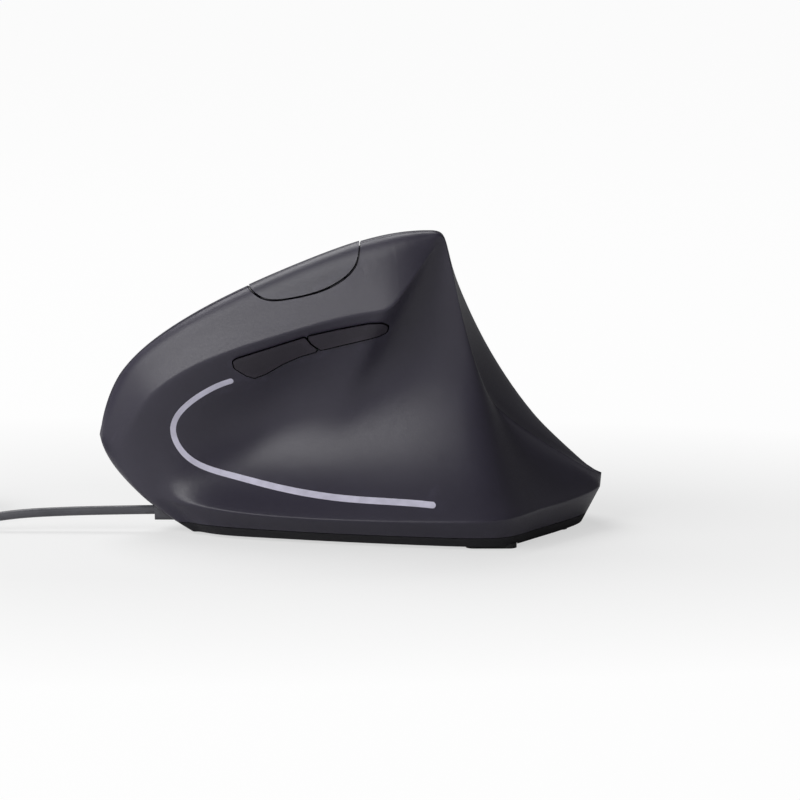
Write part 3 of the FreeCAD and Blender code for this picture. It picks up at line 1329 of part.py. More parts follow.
def coil_point(turn):
    """Place on the coil's line, by turns since its start: four spirals piled up, joined by climbs."""
    layer_turns = COIL_TURNS + 0.5
    layer = min(int(turn / layer_turns), COIL_LAYERS - 1)
    into = turn - layer * layer_turns
    span = COIL_STEP * COIL_TURNS
    outward = layer % 2 == 1
    if into <= COIL_TURNS:
        radius = COIL_STEP * into
        climb = 0.0
    else:
        past = into - COIL_TURNS
        radius = span + COIL_STEP * min(past, 0.5 - past)
        climb = smooth_climb(past / 0.5)
    outer = COIL_INNER + span
    radius = COIL_INNER + radius if outward else outer - radius
    angle = -math.pi / 2 - 2 * math.pi * turn
    centre = V(CABLE_ROUTE[-1].x - COIL_LEAD, CABLE_ROUTE[-1].y + outer, 0)
    height = CABLE_ROUTE[-1].z + COIL_STEP * (layer + climb)
    return centre + V(radius * math.cos(angle), radius * math.sin(angle), height)


def smooth_climb(t):
    return 0.5 - 0.5 * math.cos(math.pi * min(max(t, 0.0), 1.0))


COIL_ALL_TURNS = COIL_LAYERS * COIL_TURNS + (COIL_LAYERS - 1) * 0.5


def coil_way(turn):
    step = 0.002
    way = coil_point(min(turn + step, COIL_ALL_TURNS)) - coil_point(max(turn - step, 0.0))
    way.normalize()
    return way


def arc_between(a, way, b):
    """The circular arc that leaves a along way and ends at b."""
    chord = b - a
    across = chord - way * chord.dot(way)
    half_turn = math.atan2(across.Length, chord.dot(way))
    across.normalize()
    radius = chord.Length / (2 * math.sin(half_turn))
    centre = a + across * radius
    middle = centre + (way * math.sin(half_turn) - across * math.cos(half_turn)) * radius
    return Part.Arc(a, middle, b).toShape(), radius


def biarc(a, way_a, b, way_b):
    """Two tangent arcs from a to b with the given ways at both ends."""
    chord = b - a
    both = way_a + way_b
    flat = 2 * (1 - way_a.dot(way_b))
    reach = (-chord.dot(both) + math.sqrt(chord.dot(both) ** 2 + flat * chord.dot(chord))) / flat
    meet = (a + b + (way_a - way_b) * reach) * 0.5
    first, radius_a = arc_between(a, way_a, meet)
    last, radius_b = arc_between(b, way_b * -1, meet)
    turned = Part.Arc(meet, last.valueAt(0.5 * (last.FirstParameter + last.LastParameter)), b).toShape()
    return [first, turned], min(radius_a, radius_b)


def make_coil():
    """The unseen length of the cable, wound in four layers, as one tube; prints its least gap to itself."""
    quarters = int(round(COIL_ALL_TURNS * 4))
    turns = [COIL_ALL_TURNS * k / quarters for k in range(quarters + 1)]
    points = [coil_point(t) for t in turns]
    ways = [coil_way(t) for t in turns]
    ways[0] = V(-1, 0, 0)
    ways[-1] = V(ways[-1].x, ways[-1].y, 0)
    ways[-1].normalize()
    edges = [Part.makeLine(CABLE_ROUTE[-1], points[0])]
    least = BIG
    for a, b, way_a, way_b in zip(points, points[1:], ways, ways[1:]):
        arcs, radius = biarc(a, way_a, b, way_b)
        edges += arcs
        least = min(least, radius)
    edges.append(Part.makeLine(points[-1], points[-1] + ways[-1] * COIL_LEAD))
    path = Part.Wire(edges)
    ring = Part.Wire(Part.makeCircle(CABLE_DIA / 2, CABLE_ROUTE[-1], X))
    solid = path.makePipeShell([ring], True, False)
    wanted = math.pi * (CABLE_DIA / 2) ** 2 * path.Length
    print("coil length", round(path.Length, 1), "turns", COIL_ALL_TURNS, "least radius", round(least, 2),
          "least gap", round(coil_gap(edges), 3), "volume share", round(solid.Volume / wanted, 4))
    return solid, path.Length, points[-1] + ways[-1] * COIL_LEAD, ways[-1]


def coil_gap(edges):
    """The least distance between places of the coil that are over half a turn apart, less its thickness."""
    places, lengths, run = [], [], 0.0
    for edge in edges:
        count = max(2, int(edge.Length / 1.2))
        for k in range(count):
            t = edge.FirstParameter + (edge.LastParameter - edge.FirstParameter) * k / count
            places.append(edge.valueAt(t))
            lengths.append(run + edge.Length * k / count)
        run += edge.Length
    apart = math.pi * COIL_INNER
    least = BIG
    for i, p in enumerate(places):
        for j in range(i + 1, len(places)):
            if lengths[j] - lengths[i] > apart:
                least = min(least, p.distanceToPoint(places[j]))
    return least - CABLE_DIA


def plug_frame(at, way):
    """Places a piece that was made along +X from the origin at the cable's end."""
    turn = FreeCAD.Rotation(X, way)
    return FreeCAD.Placement(at, turn)


def make_plug(at, way):
    """The plug at the cable's end: moulded body with its neck, metal shell, and the tongue with contacts."""
    place = plug_frame(at, way)
    neck = Part.makeCone(CABLE_DIA / 2 + PLUG_NECK_WALL, PLUG_NECK_DIA / 2, PLUG_NECK_LONG, V(0, 0, 0), X)
    long, wide, tall = PLUG_BODY
    front = PLUG_NECK_LONG + long
    body = block(PLUG_NECK_LONG, front, -wide / 2, wide / 2, -tall / 2, tall / 2)
    body = body.makeFillet(PLUG_CORNER, [e for e in body.Edges if e.BoundBox.XLength > long - 0.1])
    shell_start = front - PLUG_SHELL_IN
    half_w, half_h = PLUG_SHELL[1] / 2, PLUG_SHELL[2] / 2
    shell = block(shell_start, shell_start + PLUG_SHELL[0] + PLUG_SHELL_IN, -half_w, half_w, -half_h, half_h)
    end = shell_start + PLUG_SHELL[0] + PLUG_SHELL_IN
    wall = PLUG_SHELL_WALL
    moulding = body.fuse(neck).cut(shell)
    in_w, in_h = half_w - wall, half_h - wall
    hollow = block(shell_start - PAST, end + PAST, -in_w, in_w, -in_h, in_h)
    shell = shell.cut(hollow)
    for side in (-1, 1):
        for lift in (-1, 1):
            window = box_at(V(front + PLUG_HOLE_AT, side * PLUG_HOLE_SIDE, -PAST), (*PLUG_HOLE, 2 * PAST))
            window.translate(V(0, 0, lift * half_h))
            shell = shell.cut(window)
    low = -half_h + wall
    long, wide, thick = PLUG_TONGUE
    tongue = block(shell_start, shell_start + long + PLUG_SHELL_IN, -wide / 2, wide / 2, low, low + thick)
    contacts = []
    for k in range(PLUG_CONTACTS):
        y = (k - (PLUG_CONTACTS - 1) / 2) * PLUG_CONTACT_STEP
        contact = box_at(V(front + PLUG_CONTACT_AT, y, low + thick - PLUG_CONTACT_SUNK), PLUG_CONTACT)
        tongue = tongue.cut(contact)
        contacts.append(contact)
    pieces = [one_solid(moulding), one_solid(shell), one_solid(tongue), Part.makeCompound(contacts)]
    for piece in pieces:
        piece.Placement = place.multiply(piece.Placement)
    return pieces


def place_tact(size, at, axis):
    """A push switch and its plunger, standing on at and facing along axis."""
    case, plunger = make_tact(size)
    place = FreeCAD.Placement(at, FreeCAD.Rotation(Z, axis))
    case.Placement = place.multiply(case.Placement)
    plunger.Placement = place.multiply(plunger.Placement)
    return case, plunger


def build():
    """Every piece by its name."""
    parts = {}
    accent = make_accent()
    parts["accent_line"] = accent
    parts["thumb_shell"] = make_thumb_shell(accent)
    parts["palm_shell"] = make_palm_shell()
    parts["base_plate"] = make_base()
    parts["wheel_trim"] = make_strip()
    parts["left_click_plate"] = make_plate(-1)
    parts["right_click_plate"] = make_plate(1)
    parts["speed_button"] = make_speed_button()
    parts["forward_button"], parts["back_button"] = make_thumb_buttons()
    parts["plate_hinge_pin"] = make_hinge_pin()
    parts["switch_board"] = make_deck_board()
    parts["switch_frame"] = make_deck_frame()
    for name, side in (("left", -1), ("right", 1)):
        parts[name + "_click_switch"], parts[name + "_click_plunger"] = make_click_switch(side)
    case, plunger = make_tact(TACT)
    spot = V(WHEEL_AT, CLICK_SWITCH_SIDE, DECK_BOARD_TOP)
    case.translate(spot)
    plunger.translate(spot)
    parts["middle_switch"], parts["middle_plunger"] = tilted(case), tilted(plunger)
    parts["wheel_tyre"] = make_tyre()
    parts["wheel_hub"] = make_hub()
    parts["wheel_axle"] = make_axle()
    parts["wheel_carrier"] = make_carrier()
    parts["wheel_light"], parts["wheel_detector"] = make_eyes()
    for name, (x, z) in zip(("forward", "back"), THUMB_SWITCHES):
        at = V(x, THUMB_BOARD_Y, z)
        parts[name + "_switch"], parts[name + "_plunger"] = place_tact(TALL_TACT, at, -Y)
    parts["thumb_board"] = make_thumb_board()
    parts["speed_switch"], parts["speed_plunger"] = place_tact(SPEED_TACT, SPEED_SWITCH, Z)
    parts["speed_board"] = box_at(SPEED_SWITCH - Z * SPEED_BOARD[2], SPEED_BOARD)
    parts["main_board"] = make_main_board()
    parts["board_chips"] = make_chips()
    parts["optical_sensor"] = make_sensor()
    parts["sensor_lens"] = make_lens()
    parts["sensor_light"], parts["light_clip"] = make_light()
    parts["cable_socket"] = make_cable_socket()
    parts["case_screws"] = make_case_screws()
    parts["board_screws"] = make_board_screws()
    parts["glide_feet"] = make_feet()
    parts["cable_bush"] = make_bush()
    parts["inner_lead"], _ = tube(INNER_ROUTE, "inner lead")
    parts["cable"], free = tube(CABLE_ROUTE, "cable")
    parts["cable_coil"], wound, end, way = make_coil()
    turn_off = end + way * LEAD_FIRST_RUN
    lead = [end, turn_off] + [turn_off + place for place in LEAD_ROUTE]
    parts["plug_lead"], rest = tube(lead, "plug lead")
    print("cable outside the mouse", round(free + wound + rest, 1))
    names = ("plug_moulding", "plug_shell", "plug_tongue", "plug_contacts")
    for name, piece in zip(names, make_plug(lead[-1], lead[-1] - lead[-2])):
        parts[name] = piece
    return parts


os.makedirs("parts", exist_ok=True)
for name, shape in build().items():
    shape.exportStep(os.path.join("parts", name + ".step"))
    print(name, "solids", len(shape.Solids), "valid", shape.isValid(), "volume", round(shape.Volume, 1))
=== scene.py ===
import json
import math

import bmesh
import bpy
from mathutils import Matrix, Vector


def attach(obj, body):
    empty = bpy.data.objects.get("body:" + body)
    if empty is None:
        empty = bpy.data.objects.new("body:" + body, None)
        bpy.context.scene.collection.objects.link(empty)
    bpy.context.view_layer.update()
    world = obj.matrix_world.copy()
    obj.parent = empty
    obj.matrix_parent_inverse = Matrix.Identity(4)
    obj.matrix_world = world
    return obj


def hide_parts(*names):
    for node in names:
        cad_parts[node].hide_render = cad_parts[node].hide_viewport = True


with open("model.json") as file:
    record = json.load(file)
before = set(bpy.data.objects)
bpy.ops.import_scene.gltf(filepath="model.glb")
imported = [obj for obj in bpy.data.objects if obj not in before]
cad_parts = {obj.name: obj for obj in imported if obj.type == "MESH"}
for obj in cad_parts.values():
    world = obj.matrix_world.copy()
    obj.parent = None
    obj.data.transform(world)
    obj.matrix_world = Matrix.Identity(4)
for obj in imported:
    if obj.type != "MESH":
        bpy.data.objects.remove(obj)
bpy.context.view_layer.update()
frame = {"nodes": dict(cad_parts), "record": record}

# An upright ("handshake") computer mouse with its cable, on a pale floor.
# The axes are the frame's own: +X nose to tail, -Y the thumb's side, +Z up.
# Lengths are metres, apart from those that a comment gives in millimetres.

MM = 0.001
NODES = frame["nodes"]

# The camera stands where the photograph's did: level with the thumb's side, nine degrees up
CAMERA_AIM = Vector((11.54, -5.577, 32.355)) * MM
CAMERA_DISTANCE = 1.0
CAMERA_RISE = math.radians(9.0)
CAMERA_LENS = 189.0
SENSOR_WIDE = 36.0

# The cable in millimetres: its route out of the bow, its coil, and the plug's lead, as in the part's source.
CABLE_DIA = 2.2
CABLE_ROUTE = [(-47.2, -2.0, 5.2), (-56.0, -2.1, 5.1), (-68.0, -1.7, 4.75), (-80.0, -1.9, 4.2),
               (-90.0, -2.2, 2.7), (-99.0, -2.0, 1.2), (-108.0, -2.0, 1.2)]
COIL_INNER = 7.9
COIL_STEP = 2.7
COIL_TURNS = 3.875
COIL_LAYERS = 4
COIL_LEAD = 2.2
# Turns that each climb to the next layer takes
COIL_CLIMB = 0.5
# Points on the line in one turn, and the step, in turns, that gives its direction at the end
COIL_POINTS = 20
COIL_END_STEP = 0.002
COIL_ALL_TURNS = COIL_LAYERS * COIL_TURNS + (COIL_LAYERS - 1) * COIL_CLIMB
LEAD_FIRST_RUN = 8.0
LEAD_ROUTE = [(-8.5, 0.4, -2.2), (-15.0, 3.6, -4.4), (-18.5, 9.4, -5.5), (-18.2, 16.0, -5.5)]


def make_camera():
    """A camera off the thumb's side, a little raised and pointed at its aim."""
    data = bpy.data.cameras.new("camera")
    data.lens = CAMERA_LENS
    data.sensor_width = SENSOR_WIDE
    data.clip_start = 0.01
    data.clip_end = 10.0
    camera = bpy.data.objects.new("camera", data)
    back = Vector((0, -math.cos(CAMERA_RISE), math.sin(CAMERA_RISE)))
    camera.location = CAMERA_AIM + back * CAMERA_DISTANCE
    camera.rotation_mode = "QUATERNION"
    camera.rotation_quaternion = (-back).to_track_quat("-Z", "Y")
    bpy.context.collection.objects.link(camera)
    bpy.context.scene.camera = camera


def coil_point(turn):
    """Place on the coil's line, by turns since its start: spirals piled up, joined by climbs."""
    layer_turns = COIL_TURNS + COIL_CLIMB
    layer = min(int(turn / layer_turns), COIL_LAYERS - 1)
    into = turn - layer * layer_turns
    span = COIL_STEP * COIL_TURNS
    climb = 0.0
    radius = COIL_STEP * into
    if into > COIL_TURNS:
        past = into - COIL_TURNS
        radius = span + COIL_STEP * min(past, COIL_CLIMB - past)
        climb = 0.5 - 0.5 * math.cos(math.pi * min(past / COIL_CLIMB, 1.0))
    outer = COIL_INNER + span
    radius = COIL_INNER + radius if layer % 2 else outer - radius
    angle = -math.pi / 2 - 2 * math.pi * turn
    start = Vector(CABLE_ROUTE[-1])
    centre = Vector((start.x - COIL_LEAD, start.y + outer, 0))
    height = start.z + COIL_STEP * (layer + climb)
    return centre + Vector((radius * math.cos(angle), radius * math.sin(angle), height))


def cord_points():
    """The whole cable's line: the route, the coil, and the lead that leaves the coil straight on."""
    count = int(COIL_ALL_TURNS * COIL_POINTS)
    coil = [coil_point(COIL_ALL_TURNS * k / count) for k in range(count + 1)]
    way = coil[-1] - coil_point(COIL_ALL_TURNS - COIL_END_STEP)
    way.z = 0
    way.normalize()
    end = coil[-1] + way * COIL_LEAD
    turn_off = end + way * LEAD_FIRST_RUN
    lead = [end, turn_off] + [turn_off + Vector(p) for p in LEAD_ROUTE]
    return [Vector(p) for p in CABLE_ROUTE] + coil + lead


def make_cord(material):
    """The whole cable as one smooth round cord from the bow to the plug, in place of the part's cable
    pieces, which it hides.
    """
    data = bpy.data.curves.new("usb_cable", "CURVE")
    data.dimensions = "3D"
    data.bevel_depth = CABLE_DIA / 2 * MM
    data.bevel_resolution = 8
    data.resolution_u = 6
    data.use_fill_caps = True
    spline = data.splines.new("NURBS")
    points = cord_points()
    spline.points.add(len(points) - 1)
    for point, place in zip(spline.points, points):
        point.co = (*(place * MM), 1)
    spline.order_u = 3
    spline.use_endpoint_u = True
    data.materials.append(material)
    cord = bpy.data.objects.new("usb_cable", data)
    bpy.context.collection.objects.link(cord)
    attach(cord, "mouse")
    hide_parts("cable", "cable_coil", "plug_lead")


def tone(red, green, blue):
    """A colour given in screen values from 0 to 255, as a linear colour."""
    out = []
    for value in (red, green, blue):
        value /= 255
        out.append(value / 12.92 if value <= 0.04045 else ((value + 0.055) / 1.055) ** 2.4)
    return (*out, 1.0)


class Shader:
    """A material's nodes, with short calls for what most of them share."""

    def __init__(self, name):
        self.material = bpy.data.materials.new(name)
        self.material.use_nodes = True
        self.tree = self.material.node_tree
        self.main = self.tree.nodes["Principled BSDF"]
        self.place = self.tree.nodes.new("ShaderNodeTexCoord").outputs["Object"]

    def node(self, kind, **values):
        made = self.tree.nodes.new(kind)
        for key, value in values.items():
            setattr(made, key, value)
        return made

    def link(self, start, end):
        self.tree.links.new(start, end)

    def set(self, **values):
        """Values on the shader's own sockets, whose names have _ for each space."""
        for key, value in values.items():
            self.main.inputs[key.replace("_", " ")].default_value = value

    def noise(self, size, detail=2.0, rough=0.5, stretch=None):
        """Soft noise whose blotches are about size across, and longer where stretch is under 1."""
        made = self.node("ShaderNodeTexNoise")
        made.inputs["Scale"].default_value = 1.0 / size
        made.inputs["Detail"].default_value = detail
        made.inputs["Roughness"].default_value = rough
        place = self.place
        if stretch:
            mapping = self.node("ShaderNodeMapping")
            mapping.inputs["Scale"].default_value = stretch
            self.link(place, mapping.inputs["Vector"])
            place = mapping.outputs["Vector"]
        self.link(place, made.inputs["Vector"])
        return made.outputs["Fac"]

    def span(self, value, low, high, to_low, to_high):
        """value moved from one range to another, and held inside it."""
        made = self.node("ShaderNodeMapRange")
        for key, number in (("From Min", low), ("From Max", high), ("To Min", to_low), ("To Max", to_high)):
            made.inputs[key].default_value = number
        self.link(value, made.inputs["Value"])
        return made.outputs["Result"]

    def mix(self, share, first, second):
        """Between two colours, each a colour or an output."""
        made = self.node("ShaderNodeMix", data_type="RGBA")
        self.link(share, made.inputs["Factor"])
        for key, colour in (("A", first), ("B", second)):
            socket = [s for s in made.inputs if s.name == key and s.type == "RGBA"][0]
            if isinstance(colour, tuple):
                socket.default_value = colour
            else:
                self.link(colour, socket)
        return [s for s in made.outputs if s.type == "RGBA"][0]

    def math(self, operation, first, second):
        made = self.node("ShaderNodeMath", operation=operation)
        for socket, value in zip(made.inputs, (first, second)):
            if isinstance(value, (int, float)):
                socket.default_value = value
            else:
                self.link(value, socket)
        return made.outputs["Value"]

    def bump(self, height, depth):
        made = self.node("ShaderNodeBump")
        made.inputs["Distance"].default_value = depth
        self.link(height, made.inputs["Height"])
        return made.outputs["Normal"]

    def edges(self):
        """1 on outer edges, fading to 0 on the flat."""
        sharp = self.node("ShaderNodeNewGeometry").outputs["Pointiness"]
        return self.span(sharp, EDGE_BLUNT, EDGE_SHARP, 0.0, 1.0)


# Between these values of pointiness a face turns from flat to an outer edge
EDGE_BLUNT = 0.505
EDGE_SHARP = 0.56
# Nearly all of a noise lies between these two values
NOISE_LOW = 0.3
NOISE_HIGH = 0.7

# Plastic: its index of refraction, its coat, the size of its mottling and of its worn patches, where in
# their noise the patches start, how strong and how pale they are, and how far the grain moves the roughness
PLASTIC_IOR = 1.46
COAT_ROUGH = 0.25
MOTTLE_SIZE = 9 * MM
WEAR_SIZE = 2.5 * MM
WEAR_START = 0.4
WEAR_SHARE = 0.25
WEAR_PALER = 2.6
GRAIN_ROUGH = 0.06

# Metal: the lines that drawing or plating leaves, long in X, with how far they move the roughness down and
# up, and its smudges
LINE_SIZE = 0.3 * MM
LINE_DEEP = 0.002 * MM
LINE_STRETCH = (0.02, 1.0, 1.0)
LINE_SMOOTHER = 0.07
LINE_ROUGHER = 0.1
SMUDGE_SIZE = 3 * MM
SMUDGE_START = 0.35
SMUDGE_DARKER = 0.82


def shade(colour, factor):
    """A colour made darker or paler by a factor."""
    return (colour[0] * factor, colour[1] * factor, colour[2] * factor, 1.0)


def plastic(name, colour, rough, grain=0.35, depth=0.004, mottle=0.1, coat=0.0, shine=0.5):
    """Moulded or coated plastic: fine grain, faint mottling, and outer edges worn a little paler."""
    s = Shader(name)
    s.set(IOR=PLASTIC_IOR, Coat_Weight=coat, Coat_Roughness=COAT_ROUGH, Specular_IOR_Level=shine)
    cloudy = s.span(s.noise(MOTTLE_SIZE, detail=4.0), NOISE_LOW, NOISE_HIGH, 0.0, 1.0)
    base = s.mix(cloudy, shade(colour, 1 - mottle), shade(colour, 1 + mottle))
    patches = s.span(s.noise(WEAR_SIZE, detail=5.0, rough=0.7), WEAR_START, NOISE_HIGH, 0.0, WEAR_SHARE)
    worn = s.math("MULTIPLY", s.edges(), patches)
    s.link(s.mix(worn, base, shade(colour, WEAR_PALER)), s.main.inputs["Base Color"])
    fine = s.noise(grain * MM, detail=3.0, rough=0.6)
    matt = s.span(fine, NOISE_LOW, NOISE_HIGH, rough - GRAIN_ROUGH, rough + GRAIN_ROUGH)
    s.link(matt, s.main.inputs["Roughness"])
    s.link(s.bump(fine, depth * MM), s.main.inputs["Normal"])
    return s.material


def brushed(name, colour, rough, metal=1.0):
    """Drawn or plated metal, or a metallic film: faint lines and smudges."""
    s = Shader(name)
    s.set(Metallic=metal)
    lines = s.noise(LINE_SIZE, rough=0.6, stretch=LINE_STRETCH)
    smudge = s.span(s.noise(SMUDGE_SIZE, detail=3.0), SMUDGE_START, NOISE_HIGH, 0.0, 1.0)
    s.link(s.mix(smudge, colour, shade(colour, SMUDGE_DARKER)), s.main.inputs["Base Color"])
    matt = s.span(lines, NOISE_LOW, NOISE_HIGH, rough - LINE_SMOOTHER, rough + LINE_ROUGHER)
    s.link(matt, s.main.inputs["Roughness"])
    s.link(s.bump(lines, LINE_DEEP), s.main.inputs["Normal"])
    return s.material


def make_materials():
    """One material for each slot of the part; grain and depth are in millimetres."""
    return {
        "upper_shell": plastic("soft_touch_coating", tone(50, 47, 60), 0.42, mottle=0.05, shine=0.55),
        "trim": plastic("trim_plastic", tone(42, 41, 47), 0.38),
        "speed_plastic": plastic("speed_button_coating", tone(52, 50, 62), 0.4, mottle=0.05, shine=0.55),
        "thumb_plastic": plastic("thumb_button_plastic", tone(47, 43, 52), 0.42, mottle=0.05, shine=0.5),
        "accent": brushed("silver_inlay", tone(216, 213, 232), 0.5, metal=0.1),
        "base_plastic": plastic("base_plastic", tone(34, 33, 37), 0.55, grain=0.5, depth=0.012, shine=0.3),
        "tyre_rubber": plastic("wheel_rubber", tone(36, 36, 38), 0.7, grain=0.2, depth=0.006),
        "wheel_plastic": plastic("wheel_plastic", tone(60, 60, 64), 0.4),
        "steel_pin": brushed("drawn_steel", tone(190, 190, 192), 0.3),
        "circuit_board": plastic("board_lacquer", tone(22, 82, 52), 0.28, grain=0.8, mottle=0.2, coat=0.4),
        "bracket_plastic": plastic("bracket_plastic", tone(52, 52, 55), 0.5),
        "switch_case": plastic("switch_case_plastic", tone(30, 30, 32), 0.42),
        "switch_plunger": plastic("switch_plunger_plastic", tone(150, 60, 48), 0.4),
        "eye_plastic": plastic("tinted_resin", tone(48, 30, 34), 0.15, coat=0.5),
        "chip": plastic("chip_epoxy", tone(28, 28, 30), 0.55),
        "clear_lens": plastic("lens_plastic", tone(206, 212, 216), 0.08, depth=0.0005),
        "socket_plastic": plastic("socket_plastic", tone(216, 212, 200), 0.45),
        "screw_steel": brushed("zinc_plating", tone(170, 170, 172), 0.34),
        "glide": plastic("glide_film", tone(34, 34, 36), 0.3, grain=0.8, depth=0.003),
        "cable_jacket": plastic("cable_jacket", tone(80, 80, 85), 0.42, grain=0.5, depth=0.003),
        "plug_plastic": plastic("plug_plastic", tone(34, 34, 36), 0.4, grain=0.5, depth=0.008),
        "plug_steel": brushed("plug_nickel", tone(198, 198, 198), 0.25),
        "plug_insulator": plastic("plug_insulator", tone(228, 228, 224), 0.4),
        "contact_metal": brushed("gold_plating", tone(214, 176, 96), 0.25),
    }


def dress_nodes(materials):
    """Every CAD node gets the material of its own slot."""
    for part in frame["record"]["subparts"]:
        node = NODES[part["node"]]
        for place in node.material_slots:
            place.material = materials[part["material_slot"]]


def ray_hit(node, start, way):
    """Where a ray first meets a node's mesh, or None."""
    inverse = node.matrix_world.inverted()
    hit, place, _, _ = node.ray_cast(inverse @ start, (inverse.to_3x3() @ way).normalized())
    return node.matrix_world @ place if hit else None


# The thin lip that closes the gap round the speed button from inside. The gap is looked for from this place,
# in these directions, from this far outside, and out to this reach.
LINER_CENTRE = Vector((-11.5, 0, 63.5)) * MM
LINER_ANGLES = [math.radians(a) for a in range(184, 394, 2)]
LINER_OUTSIDE = 0.1
LINER_REACH = 20 * MM
LINER_STEP = 0.1 * MM
# The faces on both sides of the gap lie no deeper than this from each other
LINER_FLUSH = 1 * MM
# The pieces that the lip must not reach from inside
LINER_STOPS = ("thumb_shell", "palm_shell", "left_click_plate", "wheel_trim")
# Beside the ridge, in the directions that rise more than this, it stands in the gap: sunk under the outer
# faces, this deep, with this half thickness, and shifted from the gap's middle to the shell
LINER_TURN = -0.4
LINER_SUNK = 0.35 * MM
LINER_DEEP = 3.5 * MM
LINER_HALF = 0.1 * MM
LINER_SHIFT = 0.05 * MM
# Below, where the button comes down, it lies this far behind the button's wall and laps past both sides of
# the gap. Where the wall is thicker than this, there is no room for it.
LINER_BEHIND = 0.5 * MM
LINER_WALL = 3.0 * MM
LINER_THICK = 1.0 * MM
LINER_LAP = 0.3 * MM
INWARD = Vector((0, 1, 0))


def gap_sides(out):
    """Where the gap begins and ends in one direction from the centre, and the y of what is beside it:
    the shell's face, the button's inside, and the inside of the pieces across the ridge."""
    button, shell = NODES["speed_button"], NODES["thumb_shell"]
    face, reach = None, 0.0
    while reach < LINER_REACH:
        hit = ray_hit(button, LINER_CENTRE + out * reach - INWARD * LINER_OUTSIDE, INWARD)
        if hit is None:
            break
        face, reach = hit, reach + LINER_STEP
    inner = reach
    while face and reach < LINER_REACH:
        place = LINER_CENTRE + out * reach
        hit = ray_hit(shell, place - INWARD * LINER_OUTSIDE, INWARD)
        if hit and abs(hit.y - face.y) < LINER_FLUSH:
            edge = LINER_CENTRE + out * (inner - LINER_LAP)
            behind = ray_hit(button, Vector((edge.x, face.y + LINER_SUNK, edge.z)), INWARD)
            far = [ray_hit(NODES[name], place + INWARD * LINER_OUTSIDE, -INWARD) for name in LINER_STOPS]
            return inner, reach, hit.y, (behind or face).y, max(p.y for p in far if p)
        reach += LINER_STEP
    return None


def liner_section(out):
    """The lip's four corners in one direction, or None where there is no room for it."""
    sides = gap_sides(out)
    if not sides:
        return None
    inner, outer, face, behind, far = sides
    if out.z > LINER_TURN:
        near = face + LINER_SUNK
        deep = min(near + LINER_DEEP, far - LINER_SUNK)
        middle, half = 0.5 * (inner + outer) + LINER_SHIFT, LINER_HALF
    elif behind - face > LINER_WALL:
        return None
    else:
        near = behind + LINER_BEHIND
        deep = near + LINER_THICK
        middle, half = 0.5 * (inner + outer), 0.5 * (outer - inner) + LINER_LAP
    if deep - near < LINER_SUNK:
        return None
    corners = ((-half, near), (half, near), (half, deep), (-half, deep))
    places = [LINER_CENTRE + out * (middle + across) for across, _ in corners]
    return [(place.x, depth, place.z) for place, (_, depth) in zip(places, corners)]


def make_gap_liner(material):
    """The lip in three runs, each swept through its sections and closed at both ends."""
    mesh = bmesh.new()
    runs = {"front": [], "below": [], "rear": []}
    for angle in LINER_ANGLES:
        out = Vector((math.cos(angle), 0, math.sin(angle)))
        section = liner_section(out)
        name = "below" if out.z <= LINER_TURN else "front" if out.x < 0 else "rear"
        if section:
            runs[name].append([mesh.verts.new(place) for place in section])
    for run in runs.values():
        for first, second in zip(run, run[1:]):
            for k in range(4):
                mesh.faces.new((first[k], first[(k + 1) % 4], second[(k + 1) % 4], second[k]))
        if len(run) > 1:
            mesh.faces.new(run[0])
            mesh.faces.new(run[-1])
    bmesh.ops.recalc_face_normals(mesh, faces=mesh.faces)
    data = bpy.data.meshes.new("speed_gap_liner")
    mesh.to_mesh(data)
    mesh.free()
    data.materials.append(material)
    liner = bpy.data.objects.new("speed_gap_liner", data)
    bpy.context.collection.objects.link(liner)
    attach(liner, "mouse")


# Both lamps point at the mouse's middle
LAMP_AIM = Vector((0, 0, 0.04))
# How much light the room gives all round, beside the lamps
WORLD_FILL = 0.125


def area_light(name, place, size, power):
    """A rectangular lamp, pointed at the mouse."""
    data = bpy.data.lights.new(name, "AREA")
    data.shape = "RECTANGLE"
    data.size, data.size_y = size
    data.energy = power
    light = bpy.data.objects.new(name, data)
    light.location = place
    light.rotation_mode = "QUATERNION"
    light.rotation_quaternion = (LAMP_AIM - Vector(place)).to_track_quat("-Z", "Y")
    bpy.context.collection.objects.link(light)


def make_lights():
    """A key lamp at the front left, one above from behind, and an even room that looks white."""
    area_light("key", place=(-0.74, -0.6, 0.56), size=(1.0, 0.55), power=9.0)
    area_light("top", place=(-0.35, 0.45, 0.85), size=(0.8, 0.5), power=6.0)
    world = bpy.data.worlds.new("studio")
    bpy.context.scene.world = world
    world.use_nodes = True
    tree = world.node_tree
    ground = tree.nodes["Background"]
    ground.inputs["Color"].default_value = (1, 1, 1, 1)
    ray = tree.nodes.new("ShaderNodeLightPath")
    seen = tree.nodes.new("ShaderNodeMapRange")
    seen.inputs["To Min"].default_value = WORLD_FILL
    seen.inputs["To Max"].default_value = 1.0
    tree.links.new(ray.outputs["Is Camera Ray"], seen.inputs["Value"])
    tree.links.new(seen.outputs["Result"], ground.inputs["Strength"])


FLOOR_REACH = 3.0
FLOOR_PALE = 0.75
FLOOR_ROUGH = 0.9
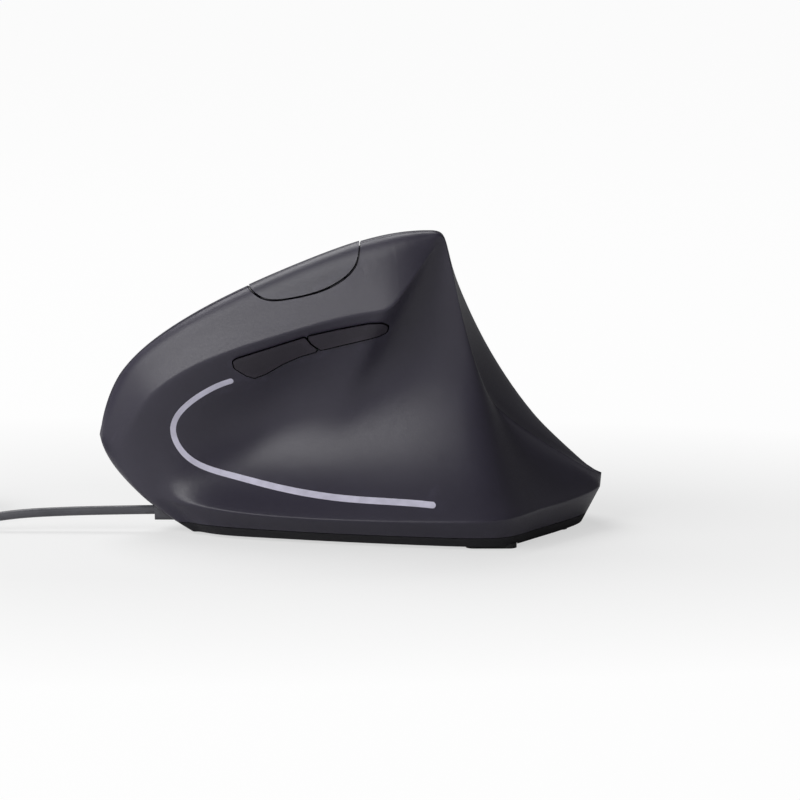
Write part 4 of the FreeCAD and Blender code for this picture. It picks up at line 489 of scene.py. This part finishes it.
# The floor's own white takes over from the lamps' light between these two ovals round the mouse and its
# coil, by these shares. Near and far are their half widths in Y, and in X they are longer.
FLOOR_NEAR = 0.06
FLOOR_FAR = 0.17
FLOOR_GLOW = (0.6, 0.96)
OVAL_MIDDLE = -0.04
OVAL_SCALE = 0.55


def make_floor():
    """A pale matt floor that keeps the shadows, and fades to white where the camera sees it far away."""
    mesh = bpy.data.meshes.new("floor")
    corners = [(x * FLOOR_REACH, y * FLOOR_REACH, 0) for x, y in ((-1, -1), (1, -1), (1, 1), (-1, 1))]
    mesh.from_pydata(corners, [], [(0, 1, 2, 3)])
    floor = bpy.data.objects.new("floor", mesh)
    bpy.context.collection.objects.link(floor)
    s = Shader("pale_floor")
    s.set(Base_Color=(FLOOR_PALE, FLOOR_PALE, FLOOR_PALE, 1), Roughness=FLOOR_ROUGH)
    glow = s.node("ShaderNodeEmission")
    ray = s.node("ShaderNodeLightPath")
    oval = s.node("ShaderNodeMapping")
    oval.inputs["Location"].default_value = (-OVAL_MIDDLE * OVAL_SCALE, 0, 0)
    oval.inputs["Scale"].default_value = (OVAL_SCALE, 1, 1)
    s.link(s.place, oval.inputs["Vector"])
    away = s.node("ShaderNodeVectorMath", operation="LENGTH")
    s.link(oval.outputs["Vector"], away.inputs[0])
    white = s.span(away.outputs["Value"], FLOOR_NEAR, FLOOR_FAR, *FLOOR_GLOW)
    share = s.math("MULTIPLY", ray.outputs["Is Camera Ray"], white)
    mixed = s.node("ShaderNodeMixShader")
    s.link(share, mixed.inputs["Fac"])
    s.link(s.main.outputs["BSDF"], mixed.inputs[1])
    s.link(glow.outputs["Emission"], mixed.inputs[2])
    out = s.tree.nodes["Material Output"]
    s.link(mixed.outputs["Shader"], out.inputs["Surface"])
    mesh.materials.append(s.material)


bpy.context.scene.view_settings.view_transform = "Standard"
make_camera()
MATERIALS = make_materials()
make_cord(MATERIALS["cable_jacket"])
dress_nodes(MATERIALS)
make_gap_liner(MATERIALS["trim"])
make_lights()
make_floor()
